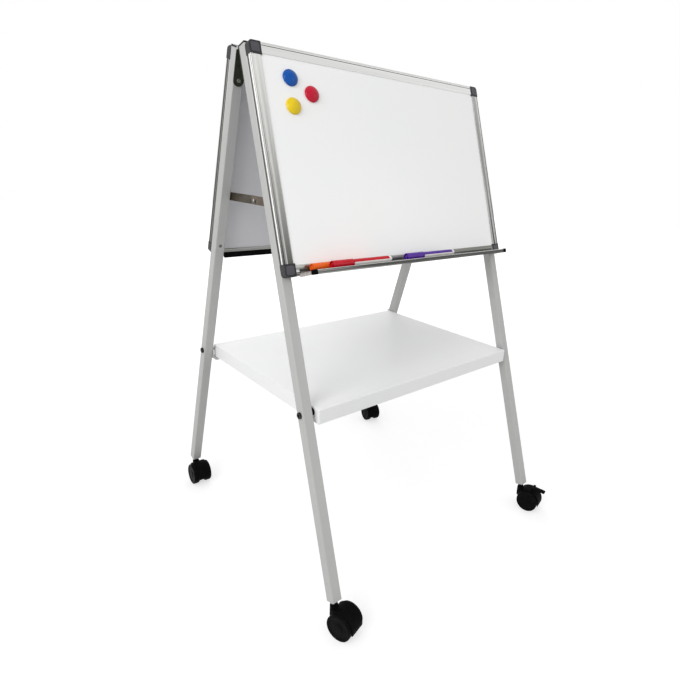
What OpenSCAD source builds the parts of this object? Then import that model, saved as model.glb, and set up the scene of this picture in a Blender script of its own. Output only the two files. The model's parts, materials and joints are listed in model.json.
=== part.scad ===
// Mobile double-sided whiteboard easel: two leaning frames hinged at the top,
// a board and a pen tray on each, folding stays, a lift-up shelf and four casters.
// Millimetres, +Z up, floor at z = 0, the front board faces -Y and +X is its right.

/* [Frames] */
// Width over the outer faces of the legs
frame_w = 600; // [500:10:800]
// Side of the square leg tube
leg_size = 20; // [18:1:24]
// Wall of the leg tube
leg_wall = 1.5; // [1:0.25:2]
// Outer corner radius of the leg tube
leg_corner = 2; // [1:0.5:3]
// Length of each leg tube
leg_len = 976; // [900:2:1200]
// Lean of each frame from upright, in degrees
splay = 17; // [15:0.5:19]
// From the hinge axis down to the top ends of the legs
leg_drop = 1; // [0.5:0.25:2]
// From the hinge axis out to the inner faces of the legs
leg_gap = 4; // [4:0.5:6]

/* [Hinges] */
// Radius of the hinge pin
pin_r = 1.5; // [1:0.25:2]
// Outer radius of the knuckles
knuckle_r = 3; // [2.75:0.25:3.25]
// Length of each of the two outer knuckles
knuckle_len = 5; // [4:0.5:6]
// Height of the pin's heads
pin_head_h = 1; // [0.6:0.2:2]
// Thickness of the hinge leaves
leaf_t = 1.5; // [1:0.25:2]
// Length of a leaf down the leg
leaf_len = 63; // [50:1:90]
// Radius of the leaf screw and the board screws
screw_r = 2; // [1.5:0.25:2.5]
// Radius of the leaf screw's head
screw_head_r = 3.6; // [3:0.2:4.5]
// Height of the leaf screw's head
screw_head_h = 2; // [1:0.25:2.5]

/* [Boards] */
// Height of each framed board
board_h = 400; // [300:10:480]
// Depth of the rails
board_t = 14; // [13:0.5:20]
// Face width of the rails
rail_w = 20; // [18:1:26]
// Wall of the rail profile
rail_wall = 1.4; // [1:0.2:1.8]
// Width of the hollow outer bead of the rails
bead_w = 7; // [6:0.5:9]
// Width of the groove along the bead
groove_w = 1.2; // [0.8:0.2:2]
// Depth of the groove along the bead
groove_d = 0.6; // [0.4:0.1:0.9]
// Reach of the back lip over the panel on the top and bottom rails
flat_lip = 1; // [0.5:0.25:6]
// Reach of the back lip over the panel on the side rails, which the board screws pass
side_lip = 7; // [6:0.5:9]
// Depth of the writing face behind the face of the rails
face_recess = 2; // [1.8:0.2:3]
// Thickness of the steel writing sheet and of the backing sheet
sheet_t = 0.5; // [0.4:0.1:0.8]
// Side of the square corner caps
cap_side = 23; // [22:0.5:30]
// Radius of the outer corner of the caps
cap_corner = 7; // [4:0.5:9]
// How far the caps stand proud of the rails
cap_proud = 0.6; // [0.4:0.1:1.2]
// Side of the raised pad on the face of a cap
pad_side = 15.5; // [10:0.5:16]
// Height of that pad
pad_h = 0.6; // [0.3:0.1:1]
// Distance of the lower board screws above the board's lower edge
board_screw_rise = 26; // [20:1:60]

/* [Pen trays] */
// From the outer face of a leg in to the end of the trays
tray_inset = 28.5; // [26:0.5:80]
// How far a tray reaches out from the face of the rail
tray_reach = 41; // [36:1:60]
// Wall of the tray profile
tray_wall = 1.4; // [1:0.2:2]
// Height of the tray's floor above the lower edge of the board
tray_rise = 4.5; // [3:0.5:8]
// Height of the upstand against the rail
tray_back_h = 8; // [5:0.5:12]
// Height of the ridge along the front edge
tray_ridge = 1.2; // [0.8:0.2:4]
// Depth of the apron below the tray's floor
tray_apron = 6.5; // [5:0.5:12]
// Thickness of the tray's end plates
end_plate_t = 2; // [1:0.5:3]
// Height of the bar that carries the rear tray
hanger_h = 14; // [9:0.5:18]
// Thickness of that bar
hanger_t = 6; // [4:0.5:6.5]
// Gap between that bar and the legs
hanger_gap = 1; // [0.5:0.25:2]
// How much shorter the bar is than the tray
hanger_short = 10; // [6:1:60]

/* [Shelf] */
// From the hinge axis down the legs to the shelf bolts
shelf_down = 640; // [600:2:680]
// Thickness of the shelf board
shelf_t = 28; // [18:1:32]
// Height of the shelf's top above its pivots
shelf_rise = 9; // [7:0.5:9.5]
// Reach of the shelf ahead of its pivots
shelf_nose = 18.5; // [10:0.5:24]
// Reach of the shelf behind its pivots
shelf_reach = 402; // [392:1:404]
// Gap between the shelf and the legs on each side
shelf_side_gap = 6.5; // [6:0.5:9]
// Rounding of the shelf's corners
shelf_corner = 3; // [1:0.5:6]
// Radius of the shelf bolts
bolt_r = 3; // [2.5:0.25:3.5]
// Radius of the bolt heads
bolt_head_r = 6; // [5:0.5:7]
// Height of the bolt heads
bolt_head_h = 3.5; // [2:0.5:5]
// Depth of the pivot bolts in the edge of the shelf
bolt_bite = 26; // [15:1:40]
// Outer radius of the spacers at the pivots
spacer_r = 7; // [5.5:0.5:8]
// Thickness of the ledge brackets
ledge_t = 2; // [1.5:0.25:2.5]
// Width of a ledge under the shelf
ledge_w = 17; // [12:1:25]
// Length of a ledge from front to back
ledge_len = 34; // [30:1:44]
// Height of the nuts on the ledge bolts
nut_h = 3; // [2:0.25:3.5]
// Radius over the corners of those nuts
nut_r = 5.5; // [4.5:0.25:6]

/* [Stays] */
// From the hinge axis down the legs to the stays' rivets
stay_down = 271; // [250:1:300]
// Height of the stay strips
stay_h = 16; // [12:1:18]
// Thickness of the stay strips
stay_t = 1.8; // [1.2:0.1:1.8]
// Length of the front links, from rivet to rivet
stay_front_len = 83; // [70:1:100]
// Radius of the rivets
rivet_r = 2.5; // [2:0.25:3]
// Radius of the rivet heads
rivet_head_r = 4.2; // [3.5:0.1:5]
// Height of the rivet heads
rivet_head_h = 1; // [0.6:0.1:1.2]

/* [Casters] */
// Radius of the wheels
wheel_r = 25; // [24:0.5:26.5]
// Width of each wheel
wheel_w = 13.5; // [12:0.5:16]
// Space between the two wheels of a caster
wheel_gap = 16; // [15:0.5:18]
// Distance of the axle behind the stem
trail = 24; // [20:0.2:28]
// Height of the leg ends' centres above the floor
foot_h = 58; // [58:0.5:70]
// Radius of the stem
stem_r = 4; // [3.5:0.25:4.5]
// Radius of the axle
axle_r = 3; // [2.5:0.25:4]
// Thickness of the wheel's wall outside the axle
hub_wall = 2.5; // [1.5:0.5:4]
// Thickness of the hood over the wheels
hood_t = 2.2; // [1.6:0.2:2.4]
// Width of the hood over the wheels
hood_w = 31; // [24:1:40]
// Depth of the sockets in the legs
socket_depth = 26; // [22:1:40]
// Radius of the sockets' necks
neck_r = 6.5; // [6:0.25:7.5]
// How far the stem goes up into the leg
stem_bite = 12; // [8:1:12]
// Headings of the casters, in degrees from straight ahead
heading_front_left = 17; // [-20:0.5:20]
heading_front_right = 15; // [-20:0.5:20]
heading_rear_left = -2.5; // [-20:0.5:20]
heading_rear_right = -12; // [-20:0.5:20]
// Length of the brake pedals
pedal_len = 28; // [24:1:36]
// Width of the brake pedals
pedal_w = 14; // [10:1:15]
// Thickness of the brake pedals
pedal_t = 2.4; // [2:0.2:3]

/* [Markers] */
// Overall length of a marker
marker_len = 140; // [120:1:150]
// Length of a marker's cap
cap_len = 47; // [40:1:55]
// Outer radius of the cap
cap_r = 7.3; // [6.5:0.1:8]
// Radius of the barrel
barrel_r = 6.3; // [5.5:0.1:6.8]
// Wall of the cap
cap_wall = 1.3; // [1:0.1:1.8]
// Length of the neck that the cap holds
neck_len = 14; // [10:1:18]
// From the tray's left end to the orange marker
orange_in = 20.5; // [4:0.5:40]
// From the tray's left end to the red marker
red_in = 52.5; // [4:0.5:60]
// From the tray's left end to the purple marker
purple_in = 234.5; // [200:0.5:260]

/* [Magnets] */
// Radius of a magnet button
magnet_r = 14.75; // [12:0.25:20]
// Height of a magnet button
magnet_h = 9; // [7:0.5:12]
// Thickness of the ferrite disc inside
ferrite_t = 4; // [3:0.25:5]
// Radius of the ferrite disc
ferrite_r = 11; // [8:0.5:12]
// From the board's left edge to the blue magnet
magnet_inset = 72.5; // [50:0.5:90]

/* [Fits] */
// Radial clearance of a running fit
run_fit = 0.05; // [0.03:0.01:0.08]
// Radial clearance of a bolt or screw in its hole
hole_fit = 0.1; // [0.05:0.05:0.3]
// Gap between pieces that slide past or rest on each other
slip = 0.3; // [0.25:0.05:0.4]

/* [Hidden] */
$fn = 48;
eps = 0.01;
FRONT = 1;
REAR = -1;
LEFT = -1;
RIGHT = 1;
deep = 2 * frame_w;

// Legs, in a frame's own plane: off is outward from the hinge axis, down is along the leg
leg_x = (frame_w - leg_size) / 2;
leg_mid = leg_gap + leg_size / 2;
leg_back = leg_gap + leg_size;
leg_end = leg_drop + leg_len;
inner_x = frame_w / 2 - leg_size;
function frame_y(off, down) = down * sin(splay) + off * cos(splay);
function frame_z(off, down) = off * sin(splay) - down * cos(splay);
foot_y = frame_y(leg_mid, leg_end);
pin_z = foot_h - frame_z(leg_mid, leg_end);

// Boards
board_top = leg_drop;
board_low = board_top + board_h;
board_mid = board_top + board_h / 2;
board_face = leg_back + board_t;
write_face = board_face - face_recess;
panel_edge = cap_proud + bead_w + hole_fit;
panel_back = leg_back + rail_wall + hole_fit;
leaf_screw_down = leaf_len - leg_size / 2;
board_screw_top = leaf_screw_down - leg_size;
board_screw_low = board_low - board_screw_rise;
screw_back = 2;
screw_bite = write_face - screw_back;

// Pen trays
tray_len = frame_w - 2 * tray_inset;
tray_floor = board_low - tray_rise;
tray_out = board_face + tray_reach;
tray_tube = tray_len / 2 - end_plate_t;
rail_low = board_low - cap_proud;
hanger_back = leg_back + hanger_gap;
hanger_out = hanger_back + hanger_t;
lane_back = board_face + tray_wall + cap_r + slip;
lane_front = lane_back + 2 * cap_r + slip;
marker_down = tray_floor - cap_r - slip;
nib_len = 14;
nib_holder_len = 9;
end_plug_len = 4;
tray_left = -tray_len / 2;
marker_orange_x = tray_left + orange_in;
marker_red_x = tray_left + red_in;
marker_purple_x = tray_left + purple_in;

// Shelf
shelf_w = 2 * (inner_x - shelf_side_gap);
pivot_y = frame_y(leg_mid, shelf_down);
pivot_z = pin_z + frame_z(leg_mid, shelf_down);
nut_x = inner_x - ledge_t;

// Stays
stay_y = frame_y(leg_mid, stay_down);
stay_z = pin_z + frame_z(leg_mid, stay_down);
stay_rear_len = 2 * stay_y - stay_front_len;
stay_step = 2;
stay_front_x = inner_x - (stay_step - stay_t) / 2 - stay_t / 2;
stay_rear_x = stay_front_x - stay_step;

// Casters
hood_gap = 0.8;
hood_r = wheel_r + hood_gap + hood_t;
hood_from = -12;
hood_to = 140;
web_r = wheel_r - 4;
boss_r = wheel_gap / 2 - slip;
boss_top = wheel_r + hood_r - 5;
stem_low = wheel_r + 4;
pedal_pin_r = 1.5;
pedal_hub_r = 3;
pedal_ear_t = 2.5;
pedal_angle = 75;
pedal_tilt = 6;
pedal_lift = 5;
pedal_radius = hood_r + pedal_lift;
pedal_y = -trail - pedal_radius * cos(pedal_angle);
pedal_z = wheel_r + pedal_radius * sin(pedal_angle);
casters = [
  [FRONT, LEFT, heading_front_left],
  [FRONT, RIGHT, heading_front_right],
  [REAR, LEFT, heading_rear_left],
  [REAR, RIGHT, heading_rear_right]
];

// The hinge axis stands behind the middle of the footprint, because every caster trails forward
front_reach = foot_y - pedal_y + pedal_len * cos(pedal_tilt);
rear_reach = frame_y(leg_back, leg_end);
mid_y = (front_reach - rear_reach) / 2;

// Magnets: places on the front board and their colours
magnet_in = magnet_inset - frame_w / 2;
magnets = [
  [magnet_in, 55, "royalblue"],
  [magnet_in + 41, 78.5, "crimson"],
  [magnet_in - 2, 104.5, "gold"]
];

paint_grey = [0.74, 0.74, 0.73];
alu = [0.66, 0.67, 0.68];
dark_grey = [0.3, 0.3, 0.31];
black = [0.06, 0.06, 0.06];
white = [0.95, 0.95, 0.95];
backing_grey = [0.62, 0.62, 0.65];
bronze = [0.2, 0.2, 0.15];
zinc_yellow = [0.62, 0.53, 0.4];
steel = [0.72, 0.72, 0.74];

// Places its children in a leaning frame: -Y is outward and -Z is down the leg
module lean(side) {
  translate([0, mid_y, pin_z]) mirror([0, side < 0 ? 1 : 0, 0]) rotate([-splay, 0, 0]) children();
}

// A point of a leaning frame
module at(x, off, down) {
  translate([x, -off, -down]) children();
}

// A round bar along X, centred
module x_bar(r, len) {
  rotate([0, 90, 0]) cylinder(r = r, h = len, center = true);
}

// A round bar along X between two stations
module x_span(r, x0, x1) {
  translate([(x0 + x1) / 2, 0, 0]) x_bar(r, abs(x1 - x0));
}

// A round bar that runs outward from a leaning frame
module out_bar(r, len) {
  rotate([90, 0, 0]) cylinder(r = r, h = len);
}

// A rectangle with round corners, centred
module round_rect(w, h, r) {
  square([w - 2 * r, h], center = true);
  square([w, h - 2 * r], center = true);
  for (i = [-1, 1], j = [-1, 1]) translate([i * (w / 2 - r), j * (h / 2 - r)]) circle(r);
}

// Square leg tube with its holes
module leg(side, hand) {
  color(paint_grey) lean(side) difference() {
    at(hand * leg_x, leg_mid, leg_end) linear_extrude(height = leg_len) difference() {
      round_rect(leg_size, leg_size, leg_corner);
      square(leg_size - 2 * leg_wall, center = true);
    }
    at(hand * leg_x, leg_mid, shelf_down) x_bar(bolt_r + hole_fit, 2 * leg_size);
    at(hand * (inner_x + leg_wall / 2), leg_mid, stay_down) x_bar(rivet_r + hole_fit, 2 * leg_wall);
    at(hand * leg_x, leg_gap - eps, leaf_screw_down) out_bar(screw_r + hole_fit, leg_size / 2);
    for (d = [board_screw_top, board_screw_low])
      at(hand * leg_x, leg_gap - eps, d) out_bar(screw_r + hole_fit, leg_size + 1);
  }
}

// Rail profile: x is inward from the outer edge, y is outward from the back
module rail_profile(lip) {
  difference() {
    union() {
      square([bead_w, board_t]);
      translate([0, board_t - rail_wall]) square([rail_w - cap_proud, rail_wall]);
      translate([rail_w - cap_proud - rail_wall, board_t - face_recess]) square([rail_wall, face_recess]);
      square([bead_w + lip, rail_wall]);
    }
    translate([rail_wall, rail_wall]) square([bead_w - 2 * rail_wall, board_t - 2 * rail_wall]);
    translate([bead_w - rail_wall - groove_w, board_t - groove_d]) square([groove_w, 2 * groove_d]);
  }
}

// One rail of a board, its outer edge at half_span from the board's middle
module rail(half_span, len, lip) {
  rotate([90, 0, 90]) linear_extrude(height = len, center = true)
    translate([0, half_span]) mirror([1, 1, 0]) rail_profile(lip);
}

module board_middle(side) {
  lean(side) at(0, leg_back, board_mid) children();
}

module board_screw_holes() {
  for (hand = [LEFT, RIGHT], d = [board_screw_top, board_screw_low])
    at(hand * leg_x, leg_back - 1, d) out_bar(screw_r + hole_fit, board_t - 2);
}

module rails(side) {
  color(alu) difference() {
    board_middle(side) for (turn = [0, 1, 2, 3]) {
      flat = turn % 2 == 0;
      half_span = (flat ? board_h : frame_w) / 2 - cap_proud;
      len = (flat ? frame_w : board_h) - 2 * cap_side;
      rotate([0, 90 * turn, 0]) rail(half_span, len, flat ? flat_lip : side_lip);
    }
    lean(side) board_screw_holes();
  }
}

// Corner cap outline, its outer corner at the origin, reaching inward
module cap_outline() {
  translate([cap_corner, 0]) square([cap_side - cap_corner, cap_side]);
  translate([0, cap_corner]) square([cap_side, cap_side - cap_corner]);
  translate([cap_corner, cap_corner]) circle(cap_corner);
}

module corner_cap() {
  depth = board_t + cap_proud;
  pocket = panel_back - leg_back - hole_fit;
  difference() {
    union() {
      linear_extrude(height = depth) cap_outline();
      translate([cap_side / 2, cap_side / 2, depth]) linear_extrude(height = pad_h)
        round_rect(pad_side, pad_side, cap_corner / 3);
    }
    translate([panel_edge - hole_fit, panel_edge - hole_fit, pocket])
      cube([cap_side, cap_side, board_t - face_recess - pocket]);
  }
}

module corner_caps(side) {
  color(dark_grey) board_middle(side) for (i = [0, 1], j = [0, 1])
    mirror([i, 0, 0]) mirror([0, 0, j]) translate([-frame_w / 2, 0, -board_h / 2])
      rotate([90, 0, 0]) corner_cap();
}

// A flat sheet behind the rails, from one depth to another
module panel_slab(side, near, far) {
  w = frame_w - 2 * panel_edge;
  h = board_h - 2 * panel_edge;
  board_middle(side) translate([-w / 2, -(far - leg_back), -h / 2]) cube([w, far - near, h]);
}

module writing_sheet(side) {
  color(white) panel_slab(side, write_face - sheet_t, write_face);
}

// Honeycomb core and the sheet that backs it, as two solids
module panel_core(side) {
  inner_skin = panel_back + sheet_t;
  color(backing_grey) for (layer = [[inner_skin, write_face - sheet_t], [panel_back, inner_skin]])
    difference() {
      panel_slab(side, layer[0], layer[1]);
      lean(side) board_screw_holes();
    }
}

// A rectangle between two offs and two downs, drawn along X
module bar_x(len, off0, off1, down0, down1) {
  translate([-len / 2, -off1, -down1]) cube([len, off1 - off0, down1 - down0]);
}

module pen_tray(side) {
  w = 2 * tray_tube;
  apron_low = tray_floor + tray_apron;
  color(alu) lean(side) union() {
    bar_x(w, board_face, tray_out - tray_wall - hole_fit, tray_floor, tray_floor + tray_wall);
    bar_x(w, board_face, board_face + tray_wall, tray_floor - tray_back_h, tray_floor + tray_wall);
    if (side == REAR) {
      // Web under the rail, with a flange along the bar
      bar_x(w, board_face, board_face + tray_wall, tray_floor, rail_low + tray_wall);
      bar_x(w, hanger_out, board_face + tray_wall, rail_low, rail_low + tray_wall);
      bar_x(w, hanger_out, hanger_out + tray_wall, rail_low, rail_low + hanger_h - tray_wall);
    }
  }
  // Lip strip clipped along the front edge
  color(dark_grey) lean(side) union() {
    bar_x(w, tray_out - tray_wall, tray_out, tray_floor - tray_ridge, apron_low);
    bar_x(w, tray_out - 3 * tray_wall, tray_out, apron_low - tray_wall, apron_low);
    at(0, tray_out - tray_wall / 2, tray_floor - tray_ridge) x_bar(tray_wall * 0.8, w);
  }
}

// End plates, and the bar under the rear board's rail, in plastic
module tray_fittings(side) {
  color(black) lean(side) {
    for (hand = [LEFT, RIGHT])
      translate([hand * (tray_len - end_plate_t) / 2, 0, 0])
        bar_x(end_plate_t, board_face, tray_out, tray_floor, tray_floor + tray_apron);
    if (side == REAR)
      bar_x(tray_len - hanger_short, hanger_back, hanger_out, rail_low, rail_low + hanger_h);
  }
}

// Hinge knuckles: the front leaf has the two outer ones, the rear leaf the middle one
module knuckle_set(side) {
  half = leg_size / 2;
  if (side == FRONT)
    for (hand = [LEFT, RIGHT]) x_span_box(hand * half, hand * (half - knuckle_len)) children();
  else
    x_span_box(-half + knuckle_len + slip, half - knuckle_len - slip) children();
}

module x_span_box(x0, x1) {
  intersection() {
    children();
    translate([min(x0, x1), -deep / 2, -deep / 2]) cube([abs(x1 - x0), deep, deep]);
  }
}

module hinge_leaf(side) {
  half = leg_size / 2;
  clear_down = knuckle_r + slip;
  plate_off = leg_gap - leaf_t;
  difference() {
    union() {
      // Plate on the inner face, with a round lower end
      bar_x(leg_size, plate_off, leg_gap, clear_down, leaf_screw_down);
      at(0, plate_off, leaf_screw_down) out_bar(half, leaf_t);
      // Flange over the end of the leg
      bar_x(leg_size, leg_gap, leg_back, leg_drop - leaf_t, leg_drop);
      // Knuckles and the stretch of plate that carries them
      knuckle_set(side) union() {
        x_bar(knuckle_r, leg_size);
        bar_x(leg_size, 0, leg_gap, leg_drop - leaf_t, clear_down);
      }
    }
    x_bar(pin_r + run_fit, 2 * leg_size);
    at(0, plate_off - 1, leaf_screw_down) out_bar(screw_r + hole_fit, leaf_t + 2);
  }
}

module hinge_leaves(side) {
  color(bronze) lean(side) for (hand = [LEFT, RIGHT])
    translate([hand * leg_x, 0, 0]) hinge_leaf(side);
}

module hinge_pins() {
  half = leg_size / 2;
  color(steel) translate([0, mid_y, pin_z]) for (hand = [LEFT, RIGHT])
    translate([hand * leg_x, 0, 0]) {
      x_bar(pin_r, leg_size + pin_head_h);
      for (end = [-1, 1]) x_span(knuckle_r - 0.5, end * half, end * (half + pin_head_h));
    }
}

// Leaf screws, board screws and the stays' rivets of one frame
module frame_screws(side) {
  color(steel) lean(side) for (hand = [LEFT, RIGHT]) {
    at(hand * leg_x, leg_gap - leaf_t - screw_head_h, leaf_screw_down) {
      out_bar(screw_head_r, screw_head_h);
      out_bar(screw_r, screw_head_h + leaf_t + 3 * leg_wall);
    }
    for (d = [board_screw_top, board_screw_low])
      at(hand * leg_x, leg_gap, d) out_bar(screw_r, screw_bite - leg_gap);
    stay_rivet(side, hand);
  }
}

// Rivet that holds a link on the leg, with a washer behind a rear link
module stay_rivet(side, hand) {
  link_x = side == FRONT ? stay_front_x : stay_rear_x;
  link_in = link_x - stay_t / 2;
  at(0, leg_mid, stay_down) {
    x_span(rivet_r, hand * (link_in - slip), hand * (inner_x + leg_wall + 1));
    x_span(rivet_head_r, hand * (link_in - slip), hand * (link_in - slip - rivet_head_h));
    if (side == REAR)
      x_span(rivet_head_r, hand * (link_x + stay_t / 2 + slip / 3), hand * inner_x);
  }
}

// Plug in the end of a leg with an upright neck and the caster's stem in it
module caster_socket(side, hand) {
  plug = leg_size - 2 * leg_wall - 2 * hole_fit;
  stem_top = foot_h + stem_bite;
  foot_place = [hand * leg_x, mid_y - side * foot_y, 0];
  color(black) difference() {
    union() {
      lean(side) at(hand * leg_x, leg_mid, leg_end) translate([-plug / 2, -plug / 2, 0])
        cube([plug, plug, socket_depth]);
      translate(foot_place) translate([0, 0, boss_top + slip])
        cylinder(r = neck_r, h = foot_h - boss_top - slip + 1.5);
    }
    translate(foot_place) translate([0, 0, stem_low])
      cylinder(r = stem_r + run_fit, h = stem_top + slip - stem_low);
    lean(side) at(hand * leg_x, leg_mid, leg_end) leg_ring();
  }
  color(steel) translate(foot_place) translate([0, 0, stem_low])
    cylinder(r = stem_r, h = stem_top - stem_low);
}

// The tube's own wall above its end, which the neck must keep out of
module leg_ring() {
  linear_extrude(height = leg_size) difference() {
    square(2 * leg_size, center = true);
    square(leg_size - 2 * leg_wall - eps, center = true);
  }
}

module caster_sockets(side) {
  for (hand = [LEFT, RIGHT]) caster_socket(side, hand);
}

// Bolt through a leg, head outside
module shelf_bolt(side, hand, inner_end) {
  lean(side) at(0, leg_mid, shelf_down) {
    x_span(bolt_r, hand * inner_end, hand * (frame_w / 2 + 1));
    x_span(bolt_head_r, hand * frame_w / 2, hand * (frame_w / 2 + bolt_head_h));
  }
}

module shelf_pivot_bolts() {
  color(black) for (hand = [LEFT, RIGHT]) shelf_bolt(FRONT, hand, shelf_w / 2 - bolt_bite);
}

module ledge_bolts() {
  color(black) for (hand = [LEFT, RIGHT]) {
    shelf_bolt(REAR, hand, nut_x - nut_h);
    translate([hand * (nut_x - nut_h / 2), mid_y + pivot_y, pivot_z]) rotate([0, 90, 0])
      difference() {
        cylinder(r = nut_r, h = nut_h, center = true, $fn = 6);
        cylinder(r = bolt_r + run_fit, h = 2 * nut_h, center = true);
      }
  }
}

module ledge_bracket(hand) {
  ledge_z = pivot_z + shelf_rise - shelf_t;
  back_y = mid_y + pivot_y + leg_size / 2;
  plate_h = pivot_z + leg_size / 2 - ledge_z;
  difference() {
    union() {
      translate([min(hand * nut_x, hand * inner_x), back_y - leg_size, ledge_z - ledge_t])
        cube([ledge_t, leg_size, plate_h + ledge_t]);
      translate([min(hand * (inner_x - ledge_w), hand * inner_x), back_y - ledge_len, ledge_z - ledge_t])
        cube([ledge_w, ledge_len, ledge_t]);
    }
    translate([hand * inner_x, mid_y + pivot_y, pivot_z]) x_bar(bolt_r + hole_fit, 4 * ledge_t);
  }
}

module ledge_brackets() {
  color(paint_grey) for (hand = [LEFT, RIGHT]) ledge_bracket(hand);
}

module shelf_board() {
  depth = shelf_nose + shelf_reach;
  color(white) translate([0, mid_y - pivot_y, pivot_z]) difference() {
    translate([0, depth / 2 - shelf_nose, shelf_rise - shelf_t]) linear_extrude(height = shelf_t)
      round_rect(shelf_w, depth, shelf_corner);
    for (hand = [LEFT, RIGHT])
      x_span(bolt_r + run_fit, hand * (shelf_w / 2 - bolt_bite - slip), hand * (shelf_w / 2 + 1));
  }
}

module shelf_spacers() {
  color(black) translate([0, mid_y - pivot_y, pivot_z]) for (hand = [LEFT, RIGHT]) difference() {
    x_span(spacer_r, hand * (shelf_w / 2 + slip), hand * inner_x);
    x_span(bolt_r + hole_fit, hand * (shelf_w / 2 - 1), hand * (inner_x + 1));
  }
}

// A flat strip with round ends, its first rivet at the origin and the second at len along +Y
module stay_strip(len) {
  difference() {
    union() {
      translate([-stay_t / 2, 0, -stay_h / 2]) cube([stay_t, len, stay_h]);
      for (y = [0, len]) translate([0, y, 0]) x_bar(stay_h / 2, stay_t);
    }
    x_bar(rivet_r + run_fit, 2 * stay_t);
  }
}

module stay_link_front(hand) {
  color(zinc_yellow) translate([hand * stay_front_x, mid_y - stay_y, stay_z]) stay_strip(stay_front_len);
}

// The rear link carries the head of the middle rivet
module stay_link_rear(hand) {
  color(zinc_yellow) translate([hand * stay_rear_x, mid_y + stay_y, stay_z]) mirror([0, 1, 0]) {
    stay_strip(stay_rear_len);
    translate([0, stay_rear_len, 0])
      x_span(rivet_head_r, -hand * (stay_t / 2 - eps), -hand * (stay_t / 2 + rivet_head_h));
  }
}

// Places its children at a caster's stem, on the floor, turned to its heading
module at_caster(i) {
  c = casters[i];
  translate([c[1] * leg_x, mid_y - c[0] * foot_y, 0]) rotate([0, 0, c[2]]) children();
}

function fan_corner(reach, angle) = reach * [cos(angle), sin(angle)];

// A wedge of the wheel plane, from one angle to another, measured from straight behind
module hood_wedge(from, to, width) {
  reach = 2 * wheel_r;
  rotate([90, 0, -90]) linear_extrude(height = width, center = true)
    polygon(concat([[0, 0]], [for (k = [0:3]) fan_corner(reach, from + (to - from) * k / 3)]));
}

module caster_hood(i, braked) {
  core_w = 2 * boss_r;
  color(black) at_caster(i) difference() {
    union() {
      translate([0, -trail, wheel_r]) {
        x_bar(web_r, core_w);
        intersection() {
          difference() {
            x_bar(hood_r, hood_w);
            difference() {
              x_bar(hood_r - hood_t, hood_w + 2);
              x_bar(hood_r - hood_t + 1, core_w);
            }
          }
          hood_wedge(hood_from, hood_to, 2 * hood_w);
        }
      }
      translate([0, 0, stem_low - 3]) cylinder(r = boss_r, h = boss_top - stem_low + 3);
      if (braked)
        translate([0, pedal_y, pedal_z]) {
          for (hand = [LEFT, RIGHT])
            translate([hand * (pedal_w / 2 + slip + pedal_ear_t / 2), 0, 0]) pedal_ear();
          x_bar(pedal_pin_r, pedal_w + 2 * slip + pedal_ear_t);
        }
    }
    translate([0, 0, stem_low - 0.5]) cylinder(r = stem_r + run_fit, h = foot_h);
    translate([0, -trail, wheel_r]) x_bar(axle_r + hole_fit / 2, 2 * hood_w);
  }
}

// Ear that holds the pedal's pin, standing on the hood
module pedal_ear() {
  root = 1;
  x_bar(pedal_hub_r, pedal_ear_t);
  rotate([90 - pedal_angle, 0, 0]) translate([-pedal_ear_t / 2, -pedal_hub_r, hood_r - root - pedal_radius])
    cube([pedal_ear_t, 2 * pedal_hub_r, pedal_radius - hood_r + root]);
}

module caster_axle(i) {
  half = wheel_gap / 2 + wheel_w - hub_wall - slip;
  color(steel) at_caster(i) translate([0, -trail, wheel_r]) x_bar(axle_r, 2 * half);
}

// A wheel with a softly rounded tread, a dished face and a hub, its inner face at x = 0
module wheel() {
  soft = 2;
  dish = 1.2;
  rotate([0, 90, 0]) difference() {
    rotate_extrude() polygon([
      [0, 0], [wheel_r - soft, 0], [wheel_r - soft * 0.3, soft * 0.3], [wheel_r, soft],
      [wheel_r, wheel_w - soft], [wheel_r - soft * 0.3, wheel_w - soft * 0.3], [wheel_r - soft, wheel_w],
      [wheel_r - 2.5 * soft, wheel_w], [wheel_r - 3 * soft, wheel_w - dish],
      [3 * axle_r, wheel_w - dish], [2.6 * axle_r, wheel_w], [0, wheel_w]
    ]);
    translate([0, 0, -1]) cylinder(r = axle_r + run_fit, h = wheel_w - hub_wall + 1);
  }
}

// hand is which side of its own caster the wheel is on
module caster_wheel(i, hand) {
  color(black) at_caster(i) translate([hand * wheel_gap / 2, -trail, wheel_r])
    mirror([hand < 0 ? 1 : 0, 0, 0]) wheel();
}

// Pedal plate on a hub, with a raised grip along its free end
module brake_pedal(i) {
  plate_w = pedal_w - 1;
  grip_h = 1.6;
  color(black) at_caster(i) translate([0, pedal_y, pedal_z]) difference() {
    union() {
      x_bar(pedal_hub_r, pedal_w);
      rotate([pedal_tilt, 0, 0]) translate([-plate_w / 2, -pedal_len, -pedal_t / 2]) {
        cube([plate_w, pedal_len, pedal_t]);
        cube([plate_w, 2 * pedal_t, pedal_t + grip_h]);
      }
    }
    x_bar(pedal_pin_r + run_fit, 2 * pedal_w);
  }
}

// Places its children at a marker's cap end, the marker lying along +X
module at_marker(x, off) {
  lean(FRONT) at(x, off, marker_down) rotate([0, 90, 0]) children();
}

// Barrel with its neck, nib holder and nib, the cap's closed end at z = 0
module marker_barrel(x, off, tint) {
  bore_r = cap_r - cap_wall;
  color(tint) at_marker(x, off) union() {
    translate([0, 0, cap_len + slip]) cylinder(r = barrel_r, h = marker_len - cap_len - slip - end_plug_len);
    translate([0, 0, marker_len - end_plug_len]) cylinder(r = barrel_r - 0.7, h = end_plug_len);
    translate([0, 0, cap_len - neck_len]) cylinder(r = bore_r - run_fit, h = neck_len + 1);
    translate([0, 0, cap_len - neck_len - nib_holder_len]) cylinder(r1 = 2.6, r2 = 4, h = nib_holder_len);
    translate([0, 0, cap_len - neck_len - nib_len])
      cylinder(r1 = 1.6, r2 = 2.4, h = nib_len - nib_holder_len + eps);
  }
}

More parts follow.
